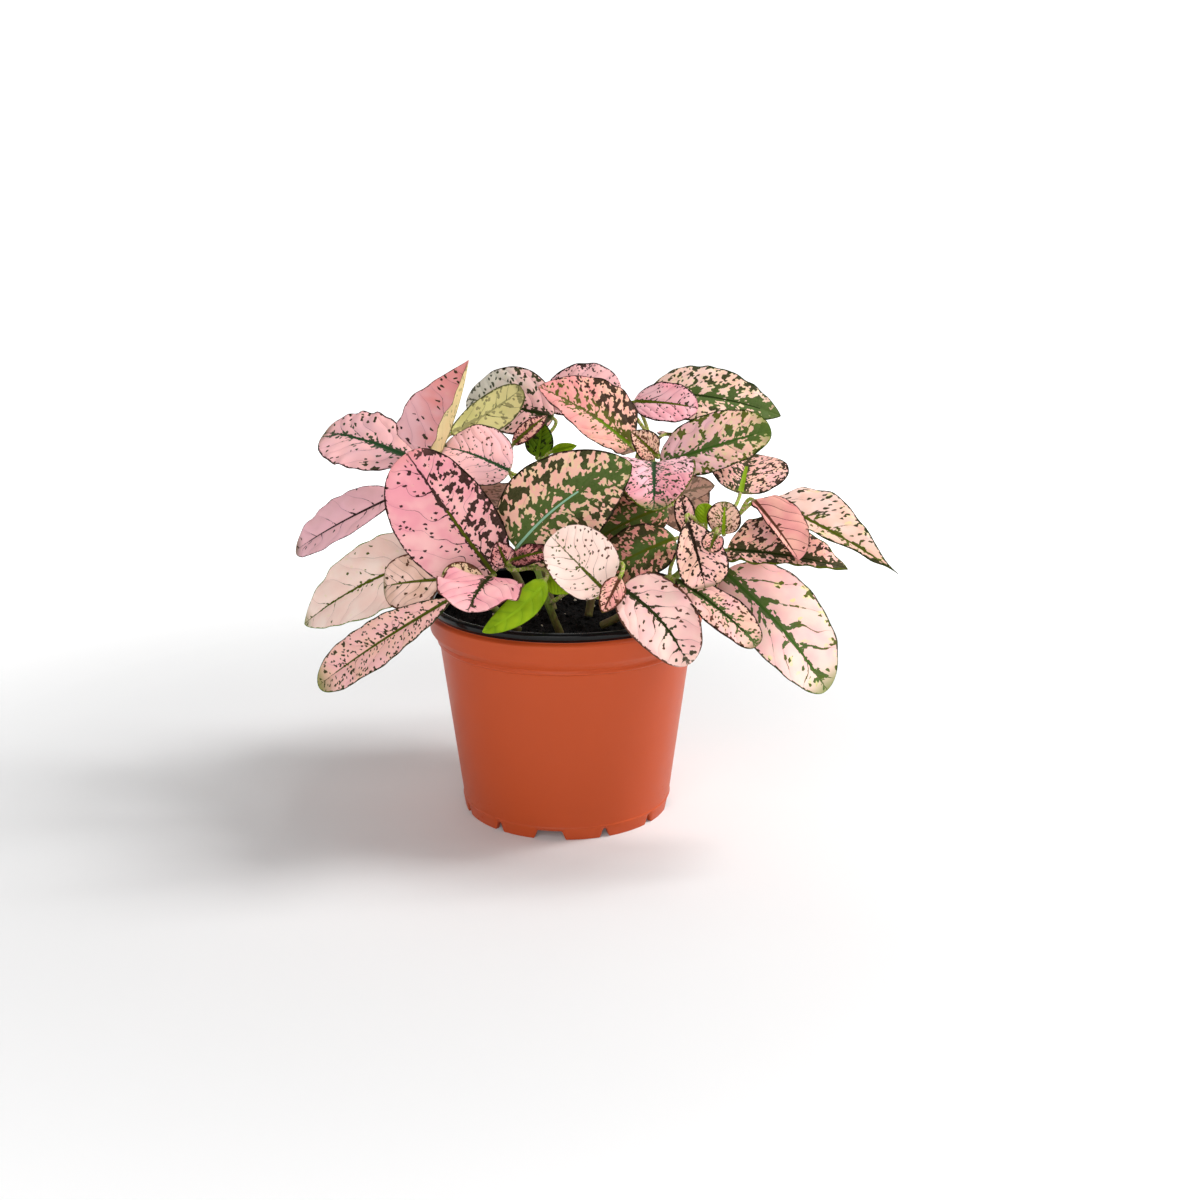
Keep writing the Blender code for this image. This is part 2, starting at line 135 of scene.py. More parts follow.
class Graph:
    """The node tree of one material, with its Principled shader."""

    def __init__(self, name: str, roughness: float, **constants: float | tuple) -> None:
        """Start a material.

        Args:
            name: The material's name.
            roughness: The shader's roughness before anything is linked to it.
            constants: Other sockets of the shader, with underscores for the spaces in their names.
        """
        self.material = bpy.data.materials.new(name)
        self.material.use_nodes = True
        self.tree = self.material.node_tree
        self.shader = self.tree.nodes["Principled BSDF"]
        self.shader.inputs["Roughness"].default_value = roughness
        for socket, value in constants.items():
            self.shader.inputs[socket.replace("_", " ")].default_value = value

    def node(self, kind: str, settings: dict, inputs: dict) -> bpy.types.Node:
        """Add a node.

        Args:
            kind: The node's type.
            settings: Its properties, set first.
            inputs: What each input, by name or place, takes: a link or a value.

        Returns:
            The node.
        """
        node = self.tree.nodes.new(kind)
        for name, value in settings.items():
            setattr(node, name, value)
        for key, value in inputs.items():
            target = node.inputs[key]
            if isinstance(value, Number):
                value = value.socket
            if isinstance(value, bpy.types.NodeSocket):
                self.tree.links.new(value, target)
            elif isinstance(value, tuple) and len(value) == 3 and len(target.default_value) == 4:
                target.default_value = (*value, 1.0)
            else:
                target.default_value = value
        return node

    def number(self, kind: str, settings: dict, inputs: dict) -> Number:
        """Add a node and take its first output as a number."""
        return Number(self, self.node(kind, settings, inputs).outputs[0])

    def split(self, vector: bpy.types.NodeSocket) -> list[Number]:
        """The three numbers of a vector."""
        outputs = self.node("ShaderNodeSeparateXYZ", {}, {"Vector": vector}).outputs
        return [Number(self, output) for output in outputs]

    def join(self, x: Number | float, y: Number | float, z: Number | float) -> bpy.types.NodeSocket:
        """A vector of three numbers."""
        return self.node("ShaderNodeCombineXYZ", {}, {"X": x, "Y": y, "Z": z}).outputs[0]

    def attribute(self, name: str) -> list[Number]:
        """The three numbers of a vector attribute of the mesh."""
        node = self.node("ShaderNodeAttribute", {"attribute_name": name}, {})
        return self.split(node.outputs["Vector"])

    def place(self) -> list[Number]:
        """The point's own place in millimetres."""
        spot = self.node("ShaderNodeTexCoord", {}, {}).outputs["Object"]
        inputs = {"Vector": spot, "Scale": 1 / MM}
        return self.split(self.node("ShaderNodeVectorMath", {"operation": "SCALE"}, inputs).outputs[0])

    def noise(self, vector: bpy.types.NodeSocket, scale: float, detail: float = 2.0) -> Number:
        """Noise about 0.5 with this many clouds to the unit and finer layers."""
        return self.number("ShaderNodeTexNoise", {}, {"Vector": vector, "Scale": scale, "Detail": detail})

    def mix(self, share: Number, first: Paint, second: Paint, blend: str = "MIX") -> bpy.types.NodeSocket:
        """The first colour with this share of the second laid on it in the blend's way."""
        settings = {"data_type": "RGBA", "blend_type": blend}
        return self.node("ShaderNodeMix", settings, {0: share, 6: first, 7: second}).outputs[2]

    def finish(self, colour: Paint, roughness: Number, height: Number, depth: float) -> bpy.types.Material:
        """Link what varies to the shader.

        Args:
            colour: The base colour.
            roughness: The roughness.
            height: The relief from 0 to 1.
            depth: The relief's depth in millimetres.

        Returns:
            The material.
        """
        relief = self.node("ShaderNodeBump", {}, {"Height": height, "Distance": depth * MM})
        sources = {"Base Color": colour, "Roughness": roughness.socket, "Normal": relief.outputs[0]}
        for name, socket in sources.items():
            self.tree.links.new(socket, self.shader.inputs[name])
        return self.material


# ---- mesh building ----


def unit(vector: np.ndarray) -> np.ndarray:
    """The vector or rows of vectors scaled to length one."""
    vector = np.asarray(vector, float)
    return vector / np.linalg.norm(vector, axis=-1, keepdims=True)


def step(values: np.ndarray, start: float, end: float) -> np.ndarray:
    """Rise smoothly from 0 at start to 1 at end, as 3t^2 - 2t^3 of the share t of the way."""
    t = np.clip((np.asarray(values, float) - start) / (end - start), 0, 1)
    return t * t * (3 - 2 * t)


def ripple(x: np.ndarray, y: np.ndarray, seed: int, waves: int = 7) -> np.ndarray:
    """Smooth uneven height: the sum of sine waves of seeded directions, lengths and phases, over root n.

    Args:
        x: First coordinate.
        y: Second coordinate.
        seed: Which pattern it is.
        waves: How many sines are added.

    Returns:
        The height, mostly between -1 and 1.
    """
    source = np.random.default_rng(seed)
    turn, phase = source.uniform(0, 2 * math.pi, (2, waves))
    pitch = 2 * math.pi * source.uniform(0.6, 1.7, waves)
    sines = zip(pitch * np.cos(turn), pitch * np.sin(turn), phase)
    return sum(np.sin(a * x + b * y + c) for a, b, c in sines) / math.sqrt(waves)


def tube_faces(rings: int, around: int) -> tuple[np.ndarray, np.ndarray]:
    """Faces of a closed tube of rings, with one more point at each end after the rings' points.

    Args:
        rings: How many rings there are.
        around: Points in each ring.

    Returns:
        The quads between rings, and the triangles of both ends.
    """
    index = np.arange(rings * around).reshape(rings, around)
    following = np.roll(index, -1, axis=1)
    quads = np.stack([index[:-1], following[:-1], following[1:], index[1:]], -1).reshape(-1, 4)
    foot, tip = rings * around, rings * around + 1
    first = np.stack([following[0], index[0], np.full(around, foot)], -1)
    last = np.stack([index[-1], following[-1], np.full(around, tip)], -1)
    return quads, np.concatenate([first, last])


def mesh_piece(
    name: str, points: np.ndarray, quads: np.ndarray, triangles: np.ndarray, **marks: np.ndarray
) -> bpy.types.Object:
    """Make one smooth mesh object whose faces point outwards.

    Args:
        name: The piece's name.
        points: Its points in millimetres.
        quads: Its four-sided faces.
        triangles: Its three-sided faces.
        marks: Vector attributes, one row of three numbers to a point.

    Returns:
        The object, at the origin.
    """
    corners = points[np.concatenate([quads[:, :3], quads[:, [0, 2, 3]], triangles])]
    if np.einsum("ij,ij->", corners[:, 0], np.cross(corners[:, 1], corners[:, 2])) < 0:
        quads, triangles = quads[:, ::-1], triangles[:, ::-1]
    mesh = bpy.data.meshes.new(name)
    mesh.vertices.add(len(points))
    mesh.vertices.foreach_set("co", (points * MM).astype(np.float32).ravel())
    mesh.loops.add(quads.size + triangles.size)
    mesh.loops.foreach_set("vertex_index", np.concatenate([quads.ravel(), triangles.ravel()]).astype(np.int32))
    starts = np.concatenate([np.arange(len(quads)) * 4, quads.size + np.arange(len(triangles)) * 3])
    mesh.polygons.add(len(starts))
    mesh.polygons.foreach_set("loop_start", starts.astype(np.int32))
    mesh.update(calc_edges=True)
    mesh.shade_smooth()
    for mark, rows in marks.items():
        layer = mesh.attributes.new(mark, "FLOAT_VECTOR", "POINT")
        layer.data.foreach_set("vector", rows.astype(np.float32).ravel())
    piece = bpy.data.objects.new(name, mesh)
    bpy.context.scene.collection.objects.link(piece)
    return piece


def settle(piece: bpy.types.Object, node: str, material: bpy.types.Material) -> None:
    """Give a piece its material and body, hide its node and report how far it stands proud of the node.

    Args:
        piece: The finished piece.
        node: The frame's node that it stands for.
        material: Its finish.
    """
    piece.data.materials.append(material)
    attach(piece, BODY)
    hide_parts(node)
    low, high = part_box(node)
    flat = np.empty(len(piece.data.vertices) * 3, np.float32)
    piece.data.vertices.foreach_get("co", flat)
    rows = flat.reshape(-1, 3)
    proud = max((np.array(low) - rows.min(0)).max(), (rows.max(0) - np.array(high)).max()) / MM
    LOG.info("%s: %d faces, %.1f mm proud of its node", piece.name, len(piece.data.polygons), proud)


# ---- pot ----


@dataclass(frozen=True)
class PotFinish:
    """Satin terracotta-coloured plastic outside, glossy black plastic on the rim and inside."""

    clay: Colour = paint(184, 74, 32)
    dusty: Colour = paint(120, 110, 100)
    black: Colour = paint(6, 6, 7)
    roughness: float = 0.4
    black_roughness: float = 0.13

    def material(self) -> bpy.types.Material:
        """Build the plastic: clouded shine, fine grain, faint flow lines and scuffs near the foot."""
        graph = Graph("pot_plastic", self.roughness, Specular_IOR_Level=0.25)
        x, y, z = graph.place()
        here = graph.join(x, y, z)
        liner = graph.attribute("liner")[0] > 0.5
        cloud = graph.noise(here, 0.05, 3)
        flow = graph.noise(graph.join(x * 0.02, y * 0.02, z), 0.9, 3)
        grain = graph.noise(here, 3.2, 2)
        scuff = (graph.noise(graph.join(x, y, z * 2.5), 0.45, 4) > 0.63) * z.ramp(26.0, 2.0) * 0.35
        dust = graph.noise(here, 1.4, 3).ramp(0.6, 0.75) * 0.06
        inside = graph.mix(dust, self.black, self.dusty)
        colour = graph.mix(liner, self.clay, inside)
        dull = self.roughness + (cloud - 0.5) * 0.16 + scuff * 0.5 + (grain - 0.5) * 0.08
        shiny = self.black_roughness + (cloud - 0.5) * 0.1
        roughness = dull * (1 - liner) + shiny * liner
        height = (grain * 0.35 + flow * 0.65) * (1 - liner * 0.7)
        return graph.finish(colour, roughness, height, 0.05)


# Heights of the collar's inner corners and their radii.
COLLAR_INSIDE = (
    (77.0, 54.7), (79.0, 55.0), (81.6, 56.8), (84.0, 58.2), (90.0, 58.9), (92.6, 58.0), (95.4, 57.2),
)


@dataclass
class Pot:
    """A thin moulded pot: rolled lip, flared collar over a bead, tapered wall, notched foot, raised floor."""

    height: float = 96.5
    lip_radius: float = 60.0
    rim_radius: float = 58.4
    ridge_radius: float = 61.0
    ridge_z: float = 91.0
    band_z: float = 78.0
    bead_radius: float = 56.8
    step_radius: float = 55.9
    foot_radius: float = 46.2
    foot_land: float = 2.0
    foot_line_z: float = 5.5
    wall: float = 1.2
    floor_z: float = 4.6
    floor_thickness: float = 1.4
    notch_height: float = 4.0
    first_notch: float = -98.0
    collar_foot: float = 76.0
    notches: int = 12
    around: int = 720
    fillet: float = 0.35
    finish: PotFinish = PotFinish()

    @property
    def slope(self) -> float:
        """How much the wall widens for each millimetre of height."""
        return (self.step_radius - self.foot_radius) / self.band_z

    def inner_radius(self, z: float) -> float:
        """The inside radius at a height, straight between the corners."""
        start = self.foot_radius - self.wall
        corners = ((0.0, start), (self.collar_foot, start + self.slope * self.collar_foot), *COLLAR_INSIDE)
        return float(np.interp(z, *zip(*corners)))

    def profile(self) -> np.ndarray:
        """The section from the middle of the floor over the rim and down to the middle of the underside.

        Returns:
            Rows of radius, height, and 1 where the surface is black and 0 where it is clay-coloured.
        """
        foot, line, top = self.foot_radius, self.foot_line_z, self.floor_z + self.floor_thickness
        wall_at_line = foot + self.slope * line
        rows = [
            (0.6, top, 1),
            (foot + self.slope * top - self.wall, top, 1),
            *[(radius, z, 1) for z, radius in COLLAR_INSIDE],
            (57.6, self.height - 0.3, 1),
            (self.rim_radius, self.height, 1),
            (self.lip_radius - 0.7, 96.2, 1),
            (self.lip_radius, 95.4, 1),
            (self.lip_radius, 93.9, 1),
            (59.3, 93.0, 1),
            (59.2, 92.7, 1),
            (59.2, 92.4, 0),
            (self.ridge_radius - 0.5, self.ridge_z + 0.6, 0),
            (self.ridge_radius, self.ridge_z, 0),
            (60.4, 87.5, 0),
            (59.6, 83.4, 0),
            (58.2, 81.4, 0),
            (56.3, self.band_z + 1.6, 0),
            (self.bead_radius, self.band_z + 0.5, 0),
            (self.bead_radius, self.band_z, 0),
            (self.step_radius - 0.1, self.band_z - 0.7, 0),
            (wall_at_line - 0.1, line + 0.5, 0),
            (wall_at_line + 0.25, line, 0),
            (foot, 0.0, 0),
            (foot - self.foot_land, 0.0, 0),
            (foot + self.slope * self.floor_z - self.wall, self.floor_z, 0),
            (0.6, self.floor_z, 0),
        ]
        return self.rounded(np.array(rows, float))

    def rounded(self, rows: np.ndarray) -> np.ndarray:
        """Round each corner: a quadratic curve runs from a little before it to a little after it.

        Args:
            rows: The profile's corners.

        Returns:
            The rounded profile, with further rows down the long runs.
        """
        ahead = np.diff(rows, axis=0)
        reach = np.linalg.norm(ahead[:, :2], axis=1)
        cut_in = np.minimum(self.fillet, 0.4 * reach[:-1]) / reach[:-1]
        cut_out = np.minimum(self.fillet, 0.4 * reach[1:]) / reach[1:]
        enter = rows[1:-1] - ahead[:-1] * cut_in[:, None]
        leave = rows[1:-1] + ahead[1:] * cut_out[:, None]
        t = np.linspace(0, 1, 5)[None, :, None]
        arcs = enter[:, None] * (1 - t) ** 2 + 2 * rows[1:-1, None] * t * (1 - t) + leave[:, None] * t**2
        line = np.vstack([rows[:1], arcs.reshape(-1, 3), rows[-1:]])
        gaps = np.linalg.norm(np.diff(line[:, :2], axis=0), axis=1)
        path = np.concatenate([[0], np.cumsum(gaps)])
        further = [np.linspace(a, b, max(2, int((b - a) / 2.5) + 1)) for a, b in zip(path[:-1], path[1:])]
        places = np.unique(np.round(np.concatenate(further), 6))
        return np.column_stack([np.interp(places, path, line[:, k]) for k in range(3)])

    def rise(self, angles: np.ndarray) -> np.ndarray:
        """How much of the notch height the foot's edge rises at each angle; every third notch is a wide one.

        Args:
            angles: Angles round the pot in degrees.

        Returns:
            The share from 0 to 1.
        """
        pitch = 360 / self.notches
        turns = (angles - self.first_notch + pitch / 2) / pitch
        offset = np.abs((turns % 1 - 0.5) * pitch)
        wide = np.floor(turns).astype(int) % 3 == 0
        return np.where(wide, step(offset, 9.0, 6.3), step(offset, 3.1, 0.6))

    def build(self) -> None:
        """Turn the profile round the axis and raise the notches in the foot's edge.

        Below the foot line a point at height z moves up by rise * notch * (1 - z / line).
        """
        rows = self.profile()
        degrees = np.arange(self.around) * 360 / self.around
        angles = np.radians(degrees)
        below = np.clip(1 - rows[:, 1:2] / self.foot_line_z, 0, 1)
        lift = self.rise(degrees)[None] * self.notch_height * below
        inner = (rows[:, 0] < self.foot_radius - self.foot_land - 0.2) | (rows[:, 2] > 0.5)
        height = rows[:, 1:2] + np.where(inner[:, None] | (rows[:, 1:2] > self.foot_line_z), 0.0, lift)
        radius = rows[:, :1] + 0.06 * np.sin(2 * angles + 0.7)[None] * step(rows[:, 1:2], 10, 90)
        points = np.stack([radius * np.cos(angles), radius * np.sin(angles), height], -1).reshape(-1, 3)
        points = np.vstack([points, (0, 0, rows[0, 1]), (0, 0, rows[-1, 1])])
        liner = np.repeat(rows[:, 2], self.around)
        mark = np.zeros((len(points), 3))
        mark[:, 0] = np.concatenate([liner, [1.0, 0.0]])
        piece = mesh_piece("pot_shell", points, *tube_faces(len(rows), self.around), liner=mark)
        settle(piece, "pot", self.finish.material())


# ---- soil ----


@dataclass(frozen=True)
class SoilFinish:
    """Moist peat, nearly black and partly painted shade, with brown fibres and lighter dry patches from noise.
    """

    # Partly painted shade: this peat is darker than peat itself, for the shade of the pot and leaves above.
    wet_and_shaded: Colour = paint(5, 4, 4)
    dry: Colour = paint(20, 16, 12)
    grit: Colour = paint(205, 196, 176)

    def material(self) -> bpy.types.Material:
        """Build the peat."""
        graph = Graph("moist_peat", 0.85, Specular_IOR_Level=0.15)
        x, y, z = graph.place()
        here = graph.join(x, y, z)
        coarse, fine = graph.noise(here, 0.5, 4), graph.noise(here, 2.4, 4)
        kind = graph.attribute("crumb")[0]
        fibre = graph.noise(graph.join(x * 0.5, y * 3.0, z), 0.8, 3) > 0.66
        shade = coarse.ramp(0.45, 0.72) * 0.45 + fine.ramp(0.5, 0.75) * 0.3 + fibre * 0.2
        peat = graph.mix(shade, self.wet_and_shaded, self.dry)
        colour = graph.mix(kind > 0.5, peat, self.grit)
        roughness = 0.62 + fine * 0.45
        return graph.finish(colour, roughness, coarse * 0.5 + fine * 0.5, 0.6)


@dataclass
class Soil:
    """The filling: a lumpy, crumbly top, and plain where the pot hides it."""

    pot: Pot
    top: float = 83.6
    lump: float = 0.7
    gap: float = 0.3
    around: int = 300
    rings: int = 130
    crumbs: int = 900
    grit_share: float = 0.05
    seed: int = 11
    finish: SoilFinish = SoilFinish()

    def level(self, x: np.ndarray, y: np.ndarray) -> np.ndarray:
        """The top's height: the frame's low lumps with finer and finer unevenness on them.

        Args:
            x: Place to the right.
            y: Place to the back.

        Returns:
            The heights.
        """
        low = self.lump * (np.sin(0.21 * x + 0.6) * np.cos(0.17 * y) + 0.5 * np.sin(0.33 * (x + y)))
        middle = 0.45 * ripple(x / 7, y / 7, self.seed)
        small = 0.28 * ripple(x / 2.6, y / 2.6, self.seed + 1, 11)
        return self.top + low + middle + small

    def grains(self) -> tuple[np.ndarray, np.ndarray, np.ndarray]:
        """Loose crumbs on the top: squashed six-sided double pyramids of seeded size, place and turn.

        Returns:
            Their points, triangles, and 1 for pale grit or 0 for peat at each point.
        """
        source = np.random.default_rng(self.seed)
        reach = self.pot.inner_radius(self.top) - 1.6
        radius = reach * np.sqrt(source.uniform(0, 1, self.crumbs))
        turn = source.uniform(0, 2 * math.pi, self.crumbs)
        x, y = radius * np.cos(turn), radius * np.sin(turn)
        size = source.uniform(0.35, 1.1, self.crumbs)
        centre = np.column_stack([x, y, self.level(x, y) + size * 0.3])
        corner = np.arange(6) * math.pi / 3
        hexagon = np.column_stack([np.cos(corner), np.sin(corner), np.zeros(6)])
        shape = np.vstack([hexagon, (0, 0, 0.8), (0, 0, -0.8)])
        loose = shape[None] * source.uniform(0.6, 1.25, (self.crumbs, 8, 1))
        spin = source.uniform(0, 2 * math.pi, self.crumbs)
        cosine, sine = np.cos(spin)[:, None], np.sin(spin)[:, None]
        a, b, c = np.moveaxis(loose, -1, 0)
        turned = np.stack([a * cosine - c * sine, b, a * sine + c * cosine], -1)
        points = (centre[:, None] + turned * size[:, None, None]).reshape(-1, 3)
        k = np.arange(6)
        crown = np.stack([k, (k + 1) % 6, np.full(6, 6)], -1)
        base = np.stack([(k + 1) % 6, k, np.full(6, 7)], -1)
        triangles = np.concatenate([crown, base])[None] + 8 * np.arange(self.crumbs)[:, None, None]
        pale = source.uniform(0, 1, self.crumbs) < self.grit_share
        return points, triangles.reshape(-1, 3), np.repeat(pale.astype(float), 8)

    def build(self) -> None:
        """Turn the filling's section round the axis, lay the uneven top on it and scatter the crumbs."""
        bottom = self.pot.floor_z + self.pot.floor_thickness + self.gap
        edge = self.pot.inner_radius(self.top) - self.gap - 0.1
        wall_z = np.array([bottom, bottom, self.pot.band_z - 1.0, self.pot.band_z + 1.0, 81.6, self.top - 1.2])
        wall_r = np.array([self.pot.inner_radius(z) - self.gap - 0.1 for z in wall_z])
        wall_r[0] = 0.6
        top_r = edge * np.linspace(1, 0.01, self.rings)
        angles = np.arange(self.around) * 2 * math.pi / self.around
        radius = np.concatenate([wall_r, top_r])[:, None]
        x, y = radius * np.cos(angles), radius * np.sin(angles)
        bank = 0.6 + 0.4 * ripple(angles * 9, angles * 0, self.seed + 3)
        z = self.level(x, y) + 1.2 * step(radius, edge - 4, edge) * bank
        z[: len(wall_z)] = wall_z[:, None]
        points = np.stack([x, y, z], -1).reshape(-1, 3)
        points = np.vstack([points, (0, 0, bottom), (0, 0, z[-1].mean())])
        quads, triangles = tube_faces(len(radius), self.around)
        grains, grain_faces, pale = self.grains()
        crumb = np.zeros((len(points) + len(grains), 3))
        crumb[len(points) :, 0] = pale
        triangles = np.concatenate([triangles, grain_faces[:, ::-1] + len(points)])
        piece = mesh_piece("potting_soil", np.vstack([points, grains]), quads, triangles, crumb=crumb)
        settle(piece, "soil", self.finish.material())


# ---- shoots ----


@dataclass(frozen=True)
class ShootFinish:
    """Soft green stem, browner at the foot, with fine lengthwise streaks and a slight bloom."""

    young: Colour = paint(128, 150, 62)
    old: Colour = paint(104, 84, 52)

    def material(self) -> bpy.types.Material:
        """Build the stem's skin."""
        graph = Graph("stem_skin", 0.5, Specular_IOR_Level=0.4)
        x, y, z = graph.place()
        grown, _, _ = graph.attribute("growth")
        streak = graph.noise(graph.join(x, y, z * 0.12), 1.6, 3)
        blotch = graph.noise(graph.join(x, y, z), 0.5, 2)
        age = (1 - grown.ramp(0.05, 0.75)) * 0.75 + (blotch - 0.5) * 0.8 + (streak - 0.5) * 0.5
        colour = graph.mix(age.ramp(0.0, 1.0), self.young, self.old)
        return graph.finish(colour, 0.42 + streak * 0.2, streak, 0.12)


@dataclass(frozen=True)
class Shoot:
    """One stem: a quadratic curve through three control points, thinner towards its tip."""

    name: str
    foot: Point
    bend: Point
    tip: Point
    foot_radius: float = 1.9
    tip_radius: float = 1.2
    swelling: float = 0.35
    rings: int = 90
    around: int = 28

    def curve(self, t: np.ndarray | float) -> tuple[np.ndarray, np.ndarray, np.ndarray]:
        """Follow the stem: each point is the control points weighted (1-t)^2, 2t(1-t) and t^2.

        Args:
            t: Share of the way from foot to tip.

        Returns:
            Points, unit tangents and radii.
        """
        a, b, c = (np.array(p, float) for p in (self.foot, self.bend, self.tip))
        t = np.asarray(t, float)[..., None]
        point = a * (1 - t) ** 2 + 2 * b * t * (1 - t) + c * t**2
        tangent = unit(2 * (b - a) * (1 - t) + 2 * (c - b) * t)
        return point, tangent, self.foot_radius + (self.tip_radius - self.foot_radius) * t[..., 0]

    def build(self, joints: list[float], material: bpy.types.Material) -> None:
        """Carry a slightly ribbed circle along the curve, swollen where leaves join it.

        Args:
            joints: Where the leaf stalks leave it, as shares of the way.
            material: The stem's skin.
        """
        t = np.linspace(0, 1, self.rings)
        point, tangent, radius = self.curve(t)
        aside = unit(np.cross(tangent, (0.3, 1.0, 0.1)))
        across = np.cross(tangent, aside)
        length = np.linalg.norm(np.diff(point, axis=0), axis=1).sum()
        knots = sum(np.exp(-(((t - place) * length / 2.0) ** 2)) for place in joints)
        radius = radius + self.swelling * np.minimum(knots, 1.0) - 0.1
        angles = np.arange(self.around) * 2 * math.pi / self.around
        uneven = ripple(angles[None] * 1.2, t[:, None] * 9, ord(self.name))
        ribs = 1 + 0.035 * np.cos(4 * angles)[None] + 0.02 * uneven
        ring = np.cos(angles)[None, :, None] * aside[:, None] + np.sin(angles)[None, :, None] * across[:, None]
        dome = np.sqrt(np.clip(1 - ((t - 0.985) / 0.015).clip(0, 1) ** 2 * 0.8, 0, 1))
        points = point[:, None] + ring * (radius * dome)[:, None, None] * ribs[..., None]
        ends = np.stack([point[0], point[-1] + tangent[-1] * 0.5])
        growth = np.zeros((points.shape[0] * self.around + 2, 3))
        growth[:, 0] = np.concatenate([np.repeat(t, self.around), [0, 1]])
        stacked = np.vstack([points.reshape(-1, 3), ends])
        piece = mesh_piece("stem_" + self.name, stacked, *tube_faces(self.rings, self.around), growth=growth)
        settle(piece, "shoot_" + self.name, material)


# ---- leaves ----


class Tone(Enum):
    """The plant's colours."""

    CREAM = paint(250, 224, 212)
    SHELL = paint(247, 208, 196)
    PEACH = paint(240, 188, 168)
    SALMON = paint(238, 174, 158)
    CORAL = paint(226, 146, 144)
    ROSE = paint(232, 152, 164)
    PINK = paint(244, 184, 184)
    ORCHID = paint(230, 178, 184)
    LAVENDER = paint(240, 186, 196)
    STRAW = paint(226, 216, 152)
    LIME = paint(128, 160, 22)
    GRASS = paint(92, 124, 8)
    FERN = paint(58, 90, 30)
    HOLLY = paint(58, 92, 16)
    MINT = paint(150, 196, 166)
    MOSS = paint(74, 84, 8)
    TEAL = paint(34, 68, 38)
    PINE = paint(30, 44, 6)
    BOTTLE = paint(30, 18, 6)
    MAROON = paint(64, 24, 28)
    SEPIA = paint(82, 46, 28)
    SAGE = paint(214, 208, 194)
    TAN = paint(208, 170, 150)
    # Painted shade: a darkened pink for leaves that sit deep in the foliage's shadow.
    DUSK = paint(172, 118, 102)


# The same by their bare names, for the tables.
(
    CREAM, SHELL, PEACH, SALMON, CORAL, ROSE, PINK, ORCHID, LAVENDER, STRAW, LIME, GRASS, FERN, HOLLY,
    MINT, MOSS, TEAL, PINE, BOTTLE, MAROON, SEPIA, SAGE, TAN, DUSK,
) = Tone


